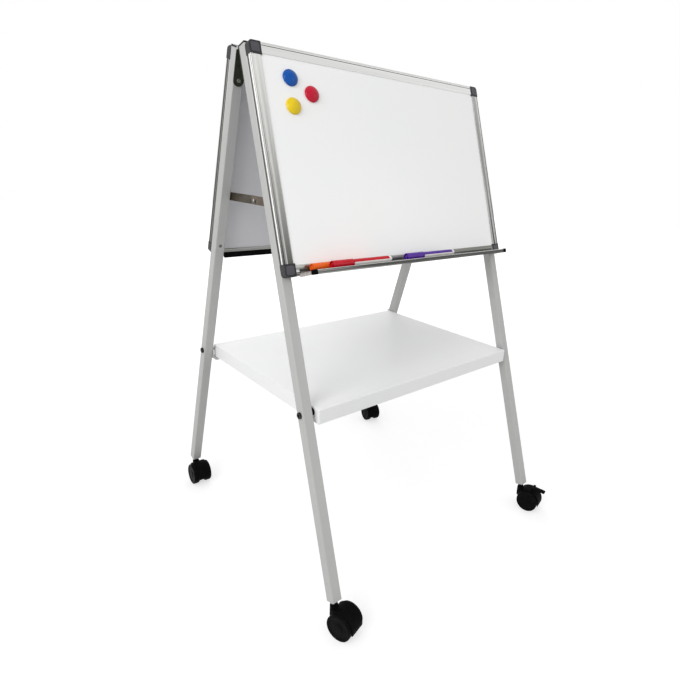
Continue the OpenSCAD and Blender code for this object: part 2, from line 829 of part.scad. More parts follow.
module marker_cap(x, off, tint) {
  bore_r = cap_r - cap_wall;
  dish_r = cap_r - 2;
  color(tint) at_marker(x, off) difference() {
    cylinder(r = cap_r, h = cap_len);
    translate([0, 0, 8]) cylinder(r = bore_r, h = cap_len);
    translate([0, 0, -1]) difference() {
      cylinder(r = dish_r, h = 5);
      cylinder(r = dish_r - 2.2, h = 5.2);
    }
  }
}

// Domed button with a ferrite disc let into its back
module magnet(place) {
  rim = 3;
  cap_h = magnet_h - rim;
  ball_r = (magnet_r * magnet_r + cap_h * cap_h) / (2 * cap_h);
  lean(FRONT) at(place[0], write_face, place[1]) rotate([90, 0, 0]) {
    color(place[2]) difference() {
      intersection() {
        cylinder(r = magnet_r, h = magnet_h);
        translate([0, 0, magnet_h - ball_r]) sphere(r = ball_r);
      }
      translate([0, 0, -1]) cylinder(r = ferrite_r + hole_fit, h = ferrite_t + slip + 1);
    }
    color(dark_grey) cylinder(r = ferrite_r, h = ferrite_t);
  }
}

leg(FRONT, LEFT);  // front_leg_left
leg(FRONT, RIGHT);  // front_leg_right
writing_sheet(FRONT);  // front_writing_sheet
panel_core(FRONT);  // front_panel_core
rails(FRONT);  // front_rails
corner_caps(FRONT);  // front_corner_caps
pen_tray(FRONT);  // front_pen_tray
tray_fittings(FRONT);  // front_tray_fittings
hinge_leaves(FRONT);  // front_hinge_leaves
hinge_pins();
frame_screws(FRONT);  // front_screws
caster_sockets(FRONT);  // front_caster_sockets
shelf_pivot_bolts();
leg(REAR, LEFT);  // rear_leg_left
leg(REAR, RIGHT);  // rear_leg_right
writing_sheet(REAR);  // rear_writing_sheet
panel_core(REAR);  // rear_panel_core
rails(REAR);  // rear_rails
corner_caps(REAR);  // rear_corner_caps
pen_tray(REAR);  // rear_pen_tray
tray_fittings(REAR);  // rear_tray_fittings
hinge_leaves(REAR);  // rear_hinge_leaves
frame_screws(REAR);  // rear_screws
caster_sockets(REAR);  // rear_caster_sockets
ledge_brackets();
ledge_bolts();
shelf_board();
shelf_spacers();
stay_link_front(LEFT);  // stay_link_front_left
stay_link_front(RIGHT);  // stay_link_front_right
stay_link_rear(LEFT);  // stay_link_rear_left
stay_link_rear(RIGHT);  // stay_link_rear_right
caster_hood(0, false);  // caster_hood_front_left
caster_axle(0);  // caster_axle_front_left
caster_wheel(0, LEFT);  // caster_wheel_front_left_outer
caster_wheel(0, RIGHT);  // caster_wheel_front_left_inner
caster_hood(1, true);  // caster_hood_front_right
caster_axle(1);  // caster_axle_front_right
caster_wheel(1, RIGHT);  // caster_wheel_front_right_outer
caster_wheel(1, LEFT);  // caster_wheel_front_right_inner
caster_hood(2, false);  // caster_hood_rear_left
caster_axle(2);  // caster_axle_rear_left
caster_wheel(2, LEFT);  // caster_wheel_rear_left_outer
caster_wheel(2, RIGHT);  // caster_wheel_rear_left_inner
caster_hood(3, true);  // caster_hood_rear_right
caster_axle(3);  // caster_axle_rear_right
caster_wheel(3, RIGHT);  // caster_wheel_rear_right_outer
caster_wheel(3, LEFT);  // caster_wheel_rear_right_inner
brake_pedal(1);  // brake_pedal_front_right
brake_pedal(3);  // brake_pedal_rear_right
marker_barrel(marker_orange_x, lane_back, "orangered");  // marker_barrel_orange
marker_cap(marker_orange_x, lane_back, "orangered");  // marker_cap_orange
marker_barrel(marker_red_x, lane_front, "crimson");  // marker_barrel_red
marker_cap(marker_red_x, lane_front, "crimson");  // marker_cap_red
marker_barrel(marker_purple_x, lane_front, "indigo");  // marker_barrel_purple
marker_cap(marker_purple_x, lane_front, "indigo");  // marker_cap_purple
magnet(magnets[0]);  // magnet_blue
magnet(magnets[1]);  // magnet_red
magnet(magnets[2]);  // magnet_yellow
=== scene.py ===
"""Looks of a double-sided mobile whiteboard easel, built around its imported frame.

Sizes are in millimetres in the classes and in metres in the finished meshes.
+Z is up, the floor is at z = 0, the front board faces -Y and +X is its right.
"""

import json
import logging
import math
from dataclasses import dataclass, field
from enum import Enum
from typing import Iterable, Sequence

import bmesh
import bpy
from mathutils import Matrix, Vector


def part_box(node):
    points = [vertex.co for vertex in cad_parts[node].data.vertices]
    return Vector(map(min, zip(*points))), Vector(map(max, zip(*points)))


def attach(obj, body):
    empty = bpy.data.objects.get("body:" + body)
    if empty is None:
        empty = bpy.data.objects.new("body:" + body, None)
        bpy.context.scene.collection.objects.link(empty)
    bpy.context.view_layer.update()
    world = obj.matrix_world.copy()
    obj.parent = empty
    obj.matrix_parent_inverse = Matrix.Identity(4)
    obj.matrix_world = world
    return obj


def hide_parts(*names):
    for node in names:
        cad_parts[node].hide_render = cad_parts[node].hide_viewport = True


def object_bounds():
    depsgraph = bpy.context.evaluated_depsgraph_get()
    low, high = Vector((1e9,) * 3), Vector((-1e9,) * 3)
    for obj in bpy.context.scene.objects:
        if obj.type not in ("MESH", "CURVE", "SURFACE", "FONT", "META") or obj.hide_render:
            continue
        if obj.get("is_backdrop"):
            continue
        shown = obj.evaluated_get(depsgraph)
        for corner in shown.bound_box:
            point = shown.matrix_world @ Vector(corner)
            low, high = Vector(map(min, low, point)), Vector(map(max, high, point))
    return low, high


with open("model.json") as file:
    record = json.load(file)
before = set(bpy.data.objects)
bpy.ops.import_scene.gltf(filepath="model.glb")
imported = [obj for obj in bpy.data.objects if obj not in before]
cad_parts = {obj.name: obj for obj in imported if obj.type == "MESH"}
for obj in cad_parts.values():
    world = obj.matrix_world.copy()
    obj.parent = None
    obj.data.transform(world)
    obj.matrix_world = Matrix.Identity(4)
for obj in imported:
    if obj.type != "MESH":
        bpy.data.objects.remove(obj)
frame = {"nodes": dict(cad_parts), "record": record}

log = logging.getLogger("easel")

MM = 0.001
SHARP_ANGLE = 42.0
RUB_FROM = 24.0
RUB_OVER = 12.0
RGB = tuple[int, int, int]
Pair = tuple[float, float]
Corner = tuple[float, float, float]
NOISE_SPAN: Pair = (0.35, 0.65)
IN_PLACE = Matrix.Identity(4)
BODY_OF = {
    node: body
    for body, nodes in frame["record"]["behaviour"]["bodies"].items()
    for node in nodes
}


class Side(Enum):
    """Which of the two leaning frames."""

    FRONT = 1
    REAR = -1

    @property
    def word(self) -> str:
        """The side's name as the nodes write it."""
        return self.name.lower()


class Hand(Enum):
    """Which end of the easel, seen from its front."""

    LEFT = -1
    RIGHT = 1

    @property
    def word(self) -> str:
        """The hand's name as the nodes write it."""
        return self.name.lower()


class Pattern(Enum):
    """What a finish's pattern follows."""

    PLACE = "object"
    PIECE = "lay"


def linear(colour: RGB) -> tuple[float, float, float, float]:
    """Turns a colour of 0 to 255 a channel into the shader's linear values.

    Args:
        colour: Red, green and blue as a screen shows them.

    Returns:
        Red, green, blue and a full alpha.
    """
    parts = [c / 255 for c in colour]
    red, green, blue = (c / 12.92 if c <= 0.04045 else ((c + 0.055) / 1.055) ** 2.4 for c in parts)
    return red, green, blue, 1.0


class Net:
    """A material's node tree while it is being drawn up."""

    def __init__(self, name: str) -> None:
        """Starts a material with its plain shader."""
        self.material = bpy.data.materials.new(name)
        self.material.use_nodes = True
        self.tree = self.material.node_tree
        self.shader = self.tree.nodes["Principled BSDF"]

    def node(self, kind: str, inputs: dict | None = None, **settings: object) -> bpy.types.Node:
        """Adds a node.

        Args:
            kind: The node's type.
            inputs: Socket name or number, and the value or the socket that feeds it.
            settings: The node's own properties.

        Returns:
            The new node.
        """
        made = self.tree.nodes.new(kind)
        for key, value in settings.items():
            setattr(made, key, value)
        for key, value in (inputs or {}).items():
            self.feed(made.inputs[key], value)
        return made

    def feed(self, socket: bpy.types.NodeSocket, value: object) -> None:
        """Links a socket to another one, or sets its value."""
        if isinstance(value, bpy.types.NodeSocket):
            self.tree.links.new(value, socket)
        else:
            socket.default_value = value

    def where(self, pattern: Pattern, stretch: Corner, lean: float = 0.0) -> bpy.types.NodeSocket:
        """The coordinates that a pattern reads.

        Args:
            pattern: Whether it follows the place or the piece.
            stretch: How much finer the pattern is along each axis.
            lean: How far the pattern is turned about X, in radians.

        Returns:
            The coordinates' socket.
        """
        if pattern is Pattern.PLACE:
            source = self.node("ShaderNodeTexCoord").outputs["Object"]
        else:
            source = self.node("ShaderNodeAttribute", attribute_name=pattern.value).outputs["Vector"]
        mapping = self.node(
            "ShaderNodeMapping",
            {"Vector": source, "Scale": stretch, "Rotation": (lean, 0.0, 0.0)},
        )
        return mapping.outputs["Vector"]

    def noise(self, where: bpy.types.NodeSocket, scale: float, detail: float = 2.0) -> bpy.types.NodeSocket:
        """A noise between 0 and 1 at that many spots a metre."""
        found = self.node("ShaderNodeTexNoise", {"Vector": where, "Scale": scale, "Detail": detail})
        return found.outputs["Fac"]

    def spread(self, value: bpy.types.NodeSocket, source: Pair, target: Pair) -> bpy.types.NodeSocket:
        """Maps one range of values onto another, clamped."""
        inputs = {"Value": value, "From Min": source[0], "From Max": source[1]}
        inputs |= {"To Min": target[0], "To Max": target[1]}
        return self.node("ShaderNodeMapRange", inputs).outputs["Result"]

    def times(self, a: bpy.types.NodeSocket, b: bpy.types.NodeSocket) -> bpy.types.NodeSocket:
        """One value times another."""
        return self.node("ShaderNodeMath", {0: a, 1: b}, operation="MULTIPLY").outputs[0]

    def mix(self, share: object, first: object, second: object) -> bpy.types.NodeSocket:
        """A colour between two, by a share."""
        inputs = {0: share, 6: first, 7: second}
        return self.node("ShaderNodeMix", inputs, data_type="RGBA").outputs[2]

    def bump(self, height: bpy.types.NodeSocket, strength: float, depth: float) -> None:
        """Gives the shader a fine relief, depth in metres."""
        inputs = {"Height": height, "Strength": strength, "Distance": depth}
        self.feed(self.shader.inputs["Normal"], self.node("ShaderNodeBump", inputs).outputs["Normal"])


@dataclass(frozen=True)
class Finish:
    """One surface finish: two close colours in patches, a gloss that varies, a fine relief, and sharp edges
    blended towards a colour that stands partly for wear and partly for a painted highlight.

    A finish with a far colour drifts to it over the span, in metres along the piece; this fade is painted
    light and shade.
    """

    name: str
    slot: str
    colour: RGB
    second: RGB
    patch: float = 25.0
    metal: float = 0.0
    matt: Pair = (0.35, 0.45)
    grain: float = 1500.0
    relief: float = 0.1
    depth: float = 0.0002
    stretch: Corner = (1.0, 1.0, 1.0)
    pattern: Pattern = Pattern.PLACE
    gloss: float = 0.5
    coat: float = 0.0
    rubbed: RGB | None = None
    clear: float = 0.0
    far: RGB | None = None
    span: Pair = (-0.18, 0.18)

    def material(self) -> bpy.types.Material:
        """Makes the material at its first use.

        Returns:
            The material of this finish.
        """
        title = f"{self.name}_look"
        known = bpy.data.materials.get(title)
        if known:
            return known
        net = Net(title)
        shader = net.shader.inputs
        place = net.where(self.pattern, self.stretch)
        patches = net.noise(place, self.patch, 3.0)
        fine = net.noise(place, self.grain)
        share = net.spread(patches, NOISE_SPAN, (0.0, 1.0))
        colour = net.mix(share, linear(self.colour), linear(self.second))
        # The far colour fades in along the piece over the span: painted light and shade along the rails.
        if self.far:
            lay = net.node("ShaderNodeAttribute", attribute_name=Pattern.PIECE.value).outputs["Vector"]
            run = net.node("ShaderNodeSeparateXYZ", {0: lay}).outputs["Z"]
            colour = net.mix(net.spread(run, self.span, (0.0, 1.0)), colour, linear(self.far))
        # Sharp edges blend in patches towards the edge colour: partly wear, and on the rails, tray, caps and
        # screws partly a painted highlight along the edge.
        if self.rubbed:
            edges = net.node("ShaderNodeAttribute", attribute_name="rub").outputs["Fac"]
            edge_wear_and_highlight_share = net.times(edges, net.spread(net.noise(place, 160.0, 3.0), (0.45, 0.7), (0.0, 0.8)))
            colour = net.mix(edge_wear_and_highlight_share, colour, linear(self.rubbed))
        net.feed(shader["Base Color"], colour)
        shine = net.noise(place, self.patch * 4, 4.0)
        net.feed(shader["Roughness"], net.spread(shine, NOISE_SPAN, self.matt))
        shader["Metallic"].default_value = self.metal
        shader["Specular IOR Level"].default_value = self.gloss
        shader["Coat Weight"].default_value = self.coat
        shader["Coat Roughness"].default_value = 0.3
        shader["Transmission Weight"].default_value = self.clear
        net.bump(fine, self.relief, self.depth)
        return net.material


BRUSHED = {"grain": 2400.0, "depth": 0.00012, "stretch": (1.0, 1.0, 0.015), "pattern": Pattern.PIECE}


@dataclass(frozen=True)
class Paints:
    """Every finish on the easel."""

    leg: Finish = Finish(
        "leg_paint", "leg_paint", (189, 189, 187), (186, 187, 185), patch=9.0, matt=(0.44, 0.46),
        grain=1700.0, relief=0.015,
    )
    enamel: Finish = Finish(
        "writing_enamel", "writing_enamel", (252, 252, 251), (250, 251, 251), patch=4.0, matt=(0.28, 0.32),
        grain=60.0, relief=0.01, depth=0.0004, gloss=0.5, coat=0.8,
    )
    backing: Finish = Finish(
        "panel_back", "panel_back", (220, 220, 223), (213, 213, 217), patch=6.0, matt=(0.5, 0.6),
        grain=500.0, relief=0.06,
    )
    # Painted shade: the dark tone of the rails' recesses and face channel, and of the rear rails' side bead.
    groove: Finish = Finish(
        "rail_groove", "rail_aluminium", (84, 84, 80), (76, 76, 72), patch=60.0, metal=0.5, matt=(0.4, 0.52),
        relief=0.12, **BRUSHED,
    )
    # Painted highlight: the light tone of the front rails' side bead and of the top of the trays' front edge.
    bead: Finish = Finish(
        "rail_bead", "rail_aluminium", (240, 240, 238), (232, 232, 230), patch=60.0, metal=0.6,
        matt=(0.2, 0.3), relief=0.1, **BRUSHED,
    )
    # The trays are the rails' aluminium; this darker tone is a painted shade under their lip, and their
    # lighter edges partly a painted highlight.
    tray: Finish = Finish(
        "tray_aluminium", "rail_aluminium", (66, 66, 63), (56, 56, 53), patch=50.0, metal=0.4,
        matt=(0.42, 0.54), relief=0.12, rubbed=(200, 200, 196), **BRUSHED,
    )
    # Body and pad are one plastic: the body's darker tone paints the shade on the caps' sides, the pad's
    # lighter tone the light on their fronts.
    corner: Finish = Finish(
        "corner_plastic", "corner_plastic", (44, 44, 47), (40, 40, 43), patch=90.0, matt=(0.4, 0.5),
        grain=2600.0, relief=0.12, gloss=0.3, rubbed=(120, 120, 126),
    )
    pad: Finish = Finish(
        "corner_pad", "corner_plastic", (80, 80, 85), (74, 74, 79), patch=90.0, matt=(0.4, 0.5),
        grain=2600.0, relief=0.12, gloss=0.3, rubbed=(150, 150, 156),
    )
    hinge: Finish = Finish(
        "hinge_steel", "hinge_steel", (64, 68, 56), (50, 50, 43), patch=110.0, metal=0.5, matt=(0.36, 0.5),
        grain=1200.0, relief=0.1, gloss=0.3, rubbed=(92, 94, 82),
    )
    screw: Finish = Finish(
        "leaf_screw", "bright_steel", (112, 114, 106), (96, 98, 90), patch=220.0, metal=0.5, matt=(0.3, 0.42),
        grain=3000.0, relief=0.1, gloss=0.3, rubbed=(188, 190, 184),
    )
    steel: Finish = Finish(
        "bright_steel", "bright_steel", (205, 205, 204), (188, 188, 188), patch=220.0, metal=0.95,
        matt=(0.18, 0.3), grain=3000.0, relief=0.12, rubbed=(235, 235, 234),
    )
    plastic: Finish = Finish(
        "black_plastic", "black_plastic", (14, 14, 15), (10, 10, 11), patch=120.0, matt=(0.5, 0.62),
        grain=2400.0, relief=0.2, gloss=0.02, rubbed=(26, 26, 27),
    )
    bolt: Finish = Finish(
        "black_bolt", "black_bolt", (18, 18, 19), (24, 24, 25), patch=200.0, metal=0.3, matt=(0.3, 0.42),
        grain=2600.0, relief=0.15, gloss=0.2, rubbed=(64, 64, 66),
    )
    zinc: Finish = Finish(
        "yellow_zinc", "yellow_zinc", (104, 92, 80), (84, 75, 62), patch=70.0, metal=0.3, matt=(0.34, 0.48),
        grain=1600.0, relief=0.14, gloss=0.25, rubbed=(138, 126, 108),
    )
    # The rear links' zinc in a darker copy: a painted shade near the rear legs.
    olive: Finish = Finish(
        "olive_zinc", "yellow_zinc", (80, 74, 61), (62, 57, 45), patch=70.0, metal=0.3, matt=(0.34, 0.48),
        grain=1600.0, relief=0.14, gloss=0.25, rubbed=(112, 104, 88),
    )
    shelf: Finish = Finish(
        "shelf_white", "shelf_white", (249, 249, 249), (247, 248, 248), patch=5.0, matt=(0.36, 0.4),
        grain=700.0, relief=0.03, gloss=0.3, rubbed=(238, 238, 236),
    )
    wheel: Finish = Finish(
        "wheel_black", "wheel_black", (14, 14, 15), (10, 10, 11), patch=90.0, matt=(0.36, 0.5),
        grain=1500.0, relief=0.16, gloss=0.03, rubbed=(28, 28, 29),
    )
    end_plate: Finish = Finish(
        "end_plate", "black_plastic", (225, 216, 213), (214, 206, 203), patch=60.0, matt=(0.2, 0.32),
        grain=1500.0, relief=0.08, clear=0.45,
    )
    marker_end: Finish = Finish(
        "marker_white", "marker_orange", (238, 236, 232), (230, 228, 224), patch=80.0, matt=(0.28, 0.38),
        grain=1500.0, relief=0.08,
    )
    felt: Finish = Finish(
        "marker_felt", "marker_orange", (60, 40, 44), (44, 30, 34), patch=300.0, matt=(0.8, 0.95),
        grain=3200.0, relief=0.5,
    )
    ferrite: Finish = Finish(
        "ferrite", "black_bolt", (50, 50, 52), (42, 42, 44), patch=150.0, metal=0.3, matt=(0.5, 0.65),
        grain=2400.0, relief=0.25,
    )

    @staticmethod
    def moulded(slot: str, colour: RGB, second: RGB) -> Finish:
        """A glossy coloured plastic, as of the markers and magnets."""
        return Finish(
            slot, slot, colour, second, patch=70.0, matt=(0.07, 0.11), grain=900.0, relief=0.01, gloss=0.2,
        )

    # Each rail of one aluminium gets its own tone, a painted light and shade, and a far tone paints a fade of
    # light and shade along it.
    @staticmethod
    def aluminium(name: str, colour: RGB, far: RGB | None = None) -> Finish:
        """Brushed aluminium of one rail in a tone of painted light and shade, and the painted tone it drifts
        to along its length.
        """
        second = tuple(int(c * 0.94) for c in colour)
        return Finish(
            f"rail_{name}", "rail_aluminium", colour, second, patch=60.0, metal=0.85, matt=(0.24, 0.36),
            relief=0.12, rubbed=(230, 230, 228), far=far, **BRUSHED,
        )


PAINTS = Paints()


def fillet(corners: Sequence[Corner], steps: int = 3) -> list[Pair]:
    """Rounds the corners of an outline.

    Args:
        corners: Each corner's place and its radius.
        steps: Facets of each rounded corner.

    Returns:
        The outline's points.
    """
    points: list[Pair] = []
    for i, (x, y, radius) in enumerate(corners):
        here = Vector((x, y))
        before = Vector(corners[i - 1][:2]) - here
        after = Vector(corners[(i + 1) % len(corners)][:2]) - here
        if radius <= 0:
            points.append((x, y))
            continue
        half = before.angle(after) / 2
        run = min(radius / math.tan(half), 0.49 * before.length, 0.49 * after.length)
        first, last = before.normalized() * run, after.normalized() * run
        centre = (first + last).normalized() * (run / math.cos(half))
        turn = (first - centre).angle(last - centre)
        for k in range(steps + 1):
            share = k / steps
            arm = (first - centre) * math.sin((1 - share) * turn) + (last - centre) * math.sin(share * turn)
            spot = here + centre + arm / math.sin(turn)
            points.append((spot.x, spot.y))
    return points


def rectangle(
    width: float, height: float, radius: float, middle: Pair = (0.0, 0.0), steps: int = 4
) -> list[Pair]:
    """A rectangle with round corners.

    Args:
        width: Size along the first axis.
        height: Size along the second axis.
        radius: Radius of the corners.
        middle: Its centre.
        steps: Facets of each corner.

    Returns:
        The outline's points.
    """
    w, h = width / 2, height / 2
    x, y = middle
    square = [(x - w, y - h), (x + w, y - h), (x + w, y + h), (x - w, y + h)]
    return fillet([(a, b, radius) for a, b in square], steps)


def prism(outline: Sequence[Pair], low: float, high: float) -> bmesh.types.BMesh:
    """An outline raised along Z.

    Args:
        outline: The outline's points.
        low: Where it starts.
        high: Where it ends.

    Returns:
        The closed mesh.
    """
    bm = bmesh.new()
    floor = [bm.verts.new((x, y, low)) for x, y in outline]
    roof = [bm.verts.new((x, y, high)) for x, y in outline]
    bm.faces.new(list(reversed(floor)))
    bm.faces.new(roof)
    for i in range(len(outline)):
        k = (i + 1) % len(outline)
        bm.faces.new((floor[i], floor[k], roof[k], roof[i]))
    bmesh.ops.recalc_face_normals(bm, faces=bm.faces)
    return bm


def lathe(profile: Sequence[Pair], turns: int = 64) -> bmesh.types.BMesh:
    """A profile turned about Z.

    Args:
        profile: Radius and height of each point, from pole to pole, or a closed ring off the axis.
        turns: Facets round the axis.

    Returns:
        The closed mesh.
    """
    bm = bmesh.new()
    rings: list[list[bmesh.types.BMVert]] = []
    for radius, height in profile:
        if radius == 0:
            rings.append([bm.verts.new((0, 0, height))])
            continue
        angles = [2 * math.pi * k / turns for k in range(turns)]
        rings.append([bm.verts.new((radius * math.cos(a), radius * math.sin(a), height)) for a in angles])
    pairs = list(zip(rings, rings[1:]))
    if profile[0][0] > 0 and profile[-1][0] > 0:
        pairs.append((rings[-1], rings[0]))
    for first, last in pairs:
        for k in range(turns):
            n = (k + 1) % turns
            if len(first) == 1:
                bm.faces.new((first[0], last[n], last[k]))
            elif len(last) == 1:
                bm.faces.new((first[k], first[n], last[0]))
            else:
                bm.faces.new((first[k], first[n], last[n], last[k]))
    bmesh.ops.recalc_face_normals(bm, faces=bm.faces)
    return bm


def swept(section: Sequence[Pair], start: float, end: float, steps: int) -> bmesh.types.BMesh:
    """A section carried round the X axis.

    Args:
        section: Place along X and radius of each point.
        start: First angle from -Y towards +Z, in degrees.
        end: Last angle.
        steps: Facets along the way.

    Returns:
        The closed mesh.
    """
    bm = bmesh.new()
    rings = []
    for k in range(steps + 1):
        a = math.radians(start + (end - start) * k / steps)
        rings.append([bm.verts.new((x, -r * math.cos(a), r * math.sin(a))) for x, r in section])
    for first, last in zip(rings, rings[1:]):
        for i in range(len(section)):
            n = (i + 1) % len(section)
            bm.faces.new((first[i], first[n], last[n], last[i]))
    bm.faces.new(rings[0])
    bm.faces.new(rings[-1])
    bmesh.ops.recalc_face_normals(bm, faces=bm.faces)
    return bm


def soften(bm: bmesh.types.BMesh, width: float, steps: int = 2, angle: float = 40.0) -> bmesh.types.BMesh:
    """Rounds every edge sharper than an angle in degrees, and gives the mesh back."""
    limit = math.radians(angle)
    edges = [e for e in bm.edges if e.is_manifold and e.calc_face_angle() > limit]
    bmesh.ops.bevel(
        bm, geom=edges, offset=width, segments=steps, profile=0.5, affect="EDGES", clamp_overlap=True
    )
    return bm


def block(xs: Pair, ys: Pair, zs: Pair, soft: float, steps: int = 2) -> bmesh.types.BMesh:
    """A box between two stations on each axis, its edges rounded by soft."""
    outline = [(xs[0], ys[0]), (xs[1], ys[0]), (xs[1], ys[1]), (xs[0], ys[1])]
    return soften(prism(outline, zs[0], zs[1]), soft, steps)


def moved(bm: bmesh.types.BMesh, matrix: Matrix) -> bmesh.types.BMesh:
    """Moves a mesh, keeps its faces outward when the matrix mirrors it, and gives it back."""
    bm.transform(matrix)
    if matrix.determinant() < 0:
        bmesh.ops.reverse_faces(bm, faces=bm.faces)
    return bm


def merged(parts: Iterable[bmesh.types.BMesh]) -> bmesh.types.BMesh:
    """Puts several meshes in one."""
    whole = bmesh.new()
    for part in parts:
        passing = bpy.data.meshes.new("passing")
        part.to_mesh(passing)
        whole.from_mesh(passing)
        part.free()
        bpy.data.meshes.remove(passing)
    return whole


def axes(origin: Sequence[float], first: Sequence[float], second: Sequence[float]) -> Matrix:
    """A place whose X and Y run along two given directions.

    Args:
        origin: Where it stands.
        first: Direction of its X.
        second: Direction of its Y.

    Returns:
        The matrix from that place to its surroundings.
    """
    x, y = Vector(first), Vector(second)
    turn = Matrix((x, y, x.cross(y))).transposed().to_4x4()
    return Matrix.Translation(origin) @ turn


def along(origin: Sequence[float], way: Sequence[float]) -> Matrix:
    """A place whose Z runs along a direction."""
    return Matrix.Translation(origin) @ Vector(way).to_track_quat("Z", "Y").to_matrix().to_4x4()


def spot(x: float, off: float, down: float) -> Vector:
    """A point of a leaning frame: off is outward from the hinge axis, down is along the leg."""
    return Vector((x, -off, -down))


class Tree:
    """A Geometry Nodes tree with named inputs that ends in Realize Instances and Set Material."""

    def __init__(self, name: str, inputs: dict[str, str]) -> None:
        """Starts a tree.

        Args:
            name: The tree's name.
            inputs: Name and kind of each input after the geometry.
        """
        self.tree = bpy.data.node_groups.new(name, "GeometryNodeTree")
        self.keys: dict[str, str] = {}
        for label, kind in {"Geometry": "Geometry", **inputs, "Finish": "Material"}.items():
            socket = self.tree.interface.new_socket(label, in_out="INPUT", socket_type=f"NodeSocket{kind}")
            self.keys[label] = socket.identifier
        self.tree.interface.new_socket("Geometry", in_out="OUTPUT", socket_type="NodeSocketGeometry")
        self.start = self.tree.nodes.new("NodeGroupInput")

    def node(self, kind: str, inputs: dict | None = None, **settings: object) -> bpy.types.Node:
        """Adds a node, with values or sockets for its inputs."""
        made = self.tree.nodes.new(kind)
        for key, value in settings.items():
            setattr(made, key, value)
        for key, value in (inputs or {}).items():
            if isinstance(value, bpy.types.NodeSocket):
                self.tree.links.new(value, made.inputs[key])
            else:
                made.inputs[key].default_value = value
        return made

    def given(self, label: str) -> bpy.types.NodeSocket:
        """The socket of a named input."""
        return self.start.outputs[label]

    def close(self, geometry: bpy.types.NodeSocket) -> "Tree":
        """Ends the tree and gives it back."""
        real = self.node("GeometryNodeRealizeInstances", {0: geometry})
        inputs = {"Geometry": real.outputs[0], "Material": self.given("Finish")}
        dressed = self.node("GeometryNodeSetMaterial", inputs)
        end = self.tree.nodes.new("NodeGroupOutput")
        self.tree.links.new(dressed.outputs[0], end.inputs[0])
        return self

    def run(self, base: bpy.types.Mesh, finish: Finish, values: dict[str, object]) -> bmesh.types.BMesh:
        """Applies the tree to a mesh.

        Args:
            base: The mesh that the tree starts from.
            finish: The finish of the result.
            values: The named inputs' values.

        Returns:
            The plain mesh that comes out.
        """
        carrier = bpy.data.objects.new("carrier", base)
        bpy.context.scene.collection.objects.link(carrier)
        modifier = carrier.modifiers.new(self.tree.name, "NODES")
        modifier.node_group = self.tree
        for label, value in {**values, "Finish": finish.material()}.items():
            modifier[self.keys[label]] = value
        graph = bpy.context.evaluated_depsgraph_get()
        plain = bpy.data.meshes.new_from_object(carrier.evaluated_get(graph))
        bm = bmesh.new()
        bm.from_mesh(plain)
        bmesh.ops.remove_doubles(bm, verts=bm.verts, dist=0.001)
        bmesh.ops.recalc_face_normals(bm, faces=bm.faces)
        for face in bm.faces:
            face.material_index = 0
        bpy.data.objects.remove(carrier)
        bpy.data.meshes.remove(plain)
        bpy.data.meshes.remove(base)
        return bm


def extrusion_tree() -> Tree:
    """A profile drawn out along Z by the input Length."""
    tree = Tree("extrusion", {"Length": "Float"})
    curve = tree.node("GeometryNodeMeshToCurve", {"Mesh": tree.given("Geometry")})
    face = tree.node("GeometryNodeFillCurve", {"Curve": curve.outputs[0]})
    inputs = {"Mesh": face.outputs[0], "Offset": (0.0, 0.0, 1.0)}
    inputs |= {"Offset Scale": tree.given("Length"), "Individual": False}
    drawn = tree.node("GeometryNodeExtrudeMesh", inputs)
    back = tree.node("GeometryNodeFlipFaces", {"Mesh": face.outputs[0]})
    both = tree.node("GeometryNodeJoinGeometry", {"Geometry": drawn.outputs[0]})
    tree.tree.links.new(back.outputs[0], both.inputs[0])
    return tree.close(both.outputs[0])


def scatter_tree() -> Tree:
    """A part set on every point, turned to the point's attribute way and sized by Width and Height."""
    tree = Tree("fastener_field", {"Part": "Object", "Width": "Float", "Height": "Float"})
    part = tree.node("GeometryNodeObjectInfo", {"Object": tree.given("Part")})
    way = tree.node("GeometryNodeInputNamedAttribute", {"Name": "way"}, data_type="FLOAT_VECTOR")
    turn = tree.node("FunctionNodeAlignRotationToVector", {"Vector": way.outputs[0]}, axis="Z")
    size = tree.node(
        "ShaderNodeCombineXYZ",
        {"X": tree.given("Width"), "Y": tree.given("Width"), "Z": tree.given("Height")},
    )
    placed = tree.node(
        "GeometryNodeInstanceOnPoints",
        {
            "Points": tree.given("Geometry"),
            "Instance": part.outputs["Geometry"],
            "Rotation": turn.outputs[0],
            "Scale": size.outputs[0],
        },
    )
    return tree.close(placed.outputs[0])


def row_tree() -> Tree:
    """A rib repeated Count times at a Pitch along +Y."""
    tree = Tree("rib_row", {"Count": "Int", "Pitch": "Float"})
    step = tree.node("ShaderNodeCombineXYZ", {"Y": tree.given("Pitch")})
    line = tree.node("GeometryNodeMeshLine", {"Count": tree.given("Count"), "Offset": step.outputs[0]})
    placed = tree.node(
        "GeometryNodeInstanceOnPoints", {"Points": line.outputs[0], "Instance": tree.given("Geometry")}
    )
    return tree.close(placed.outputs[0])


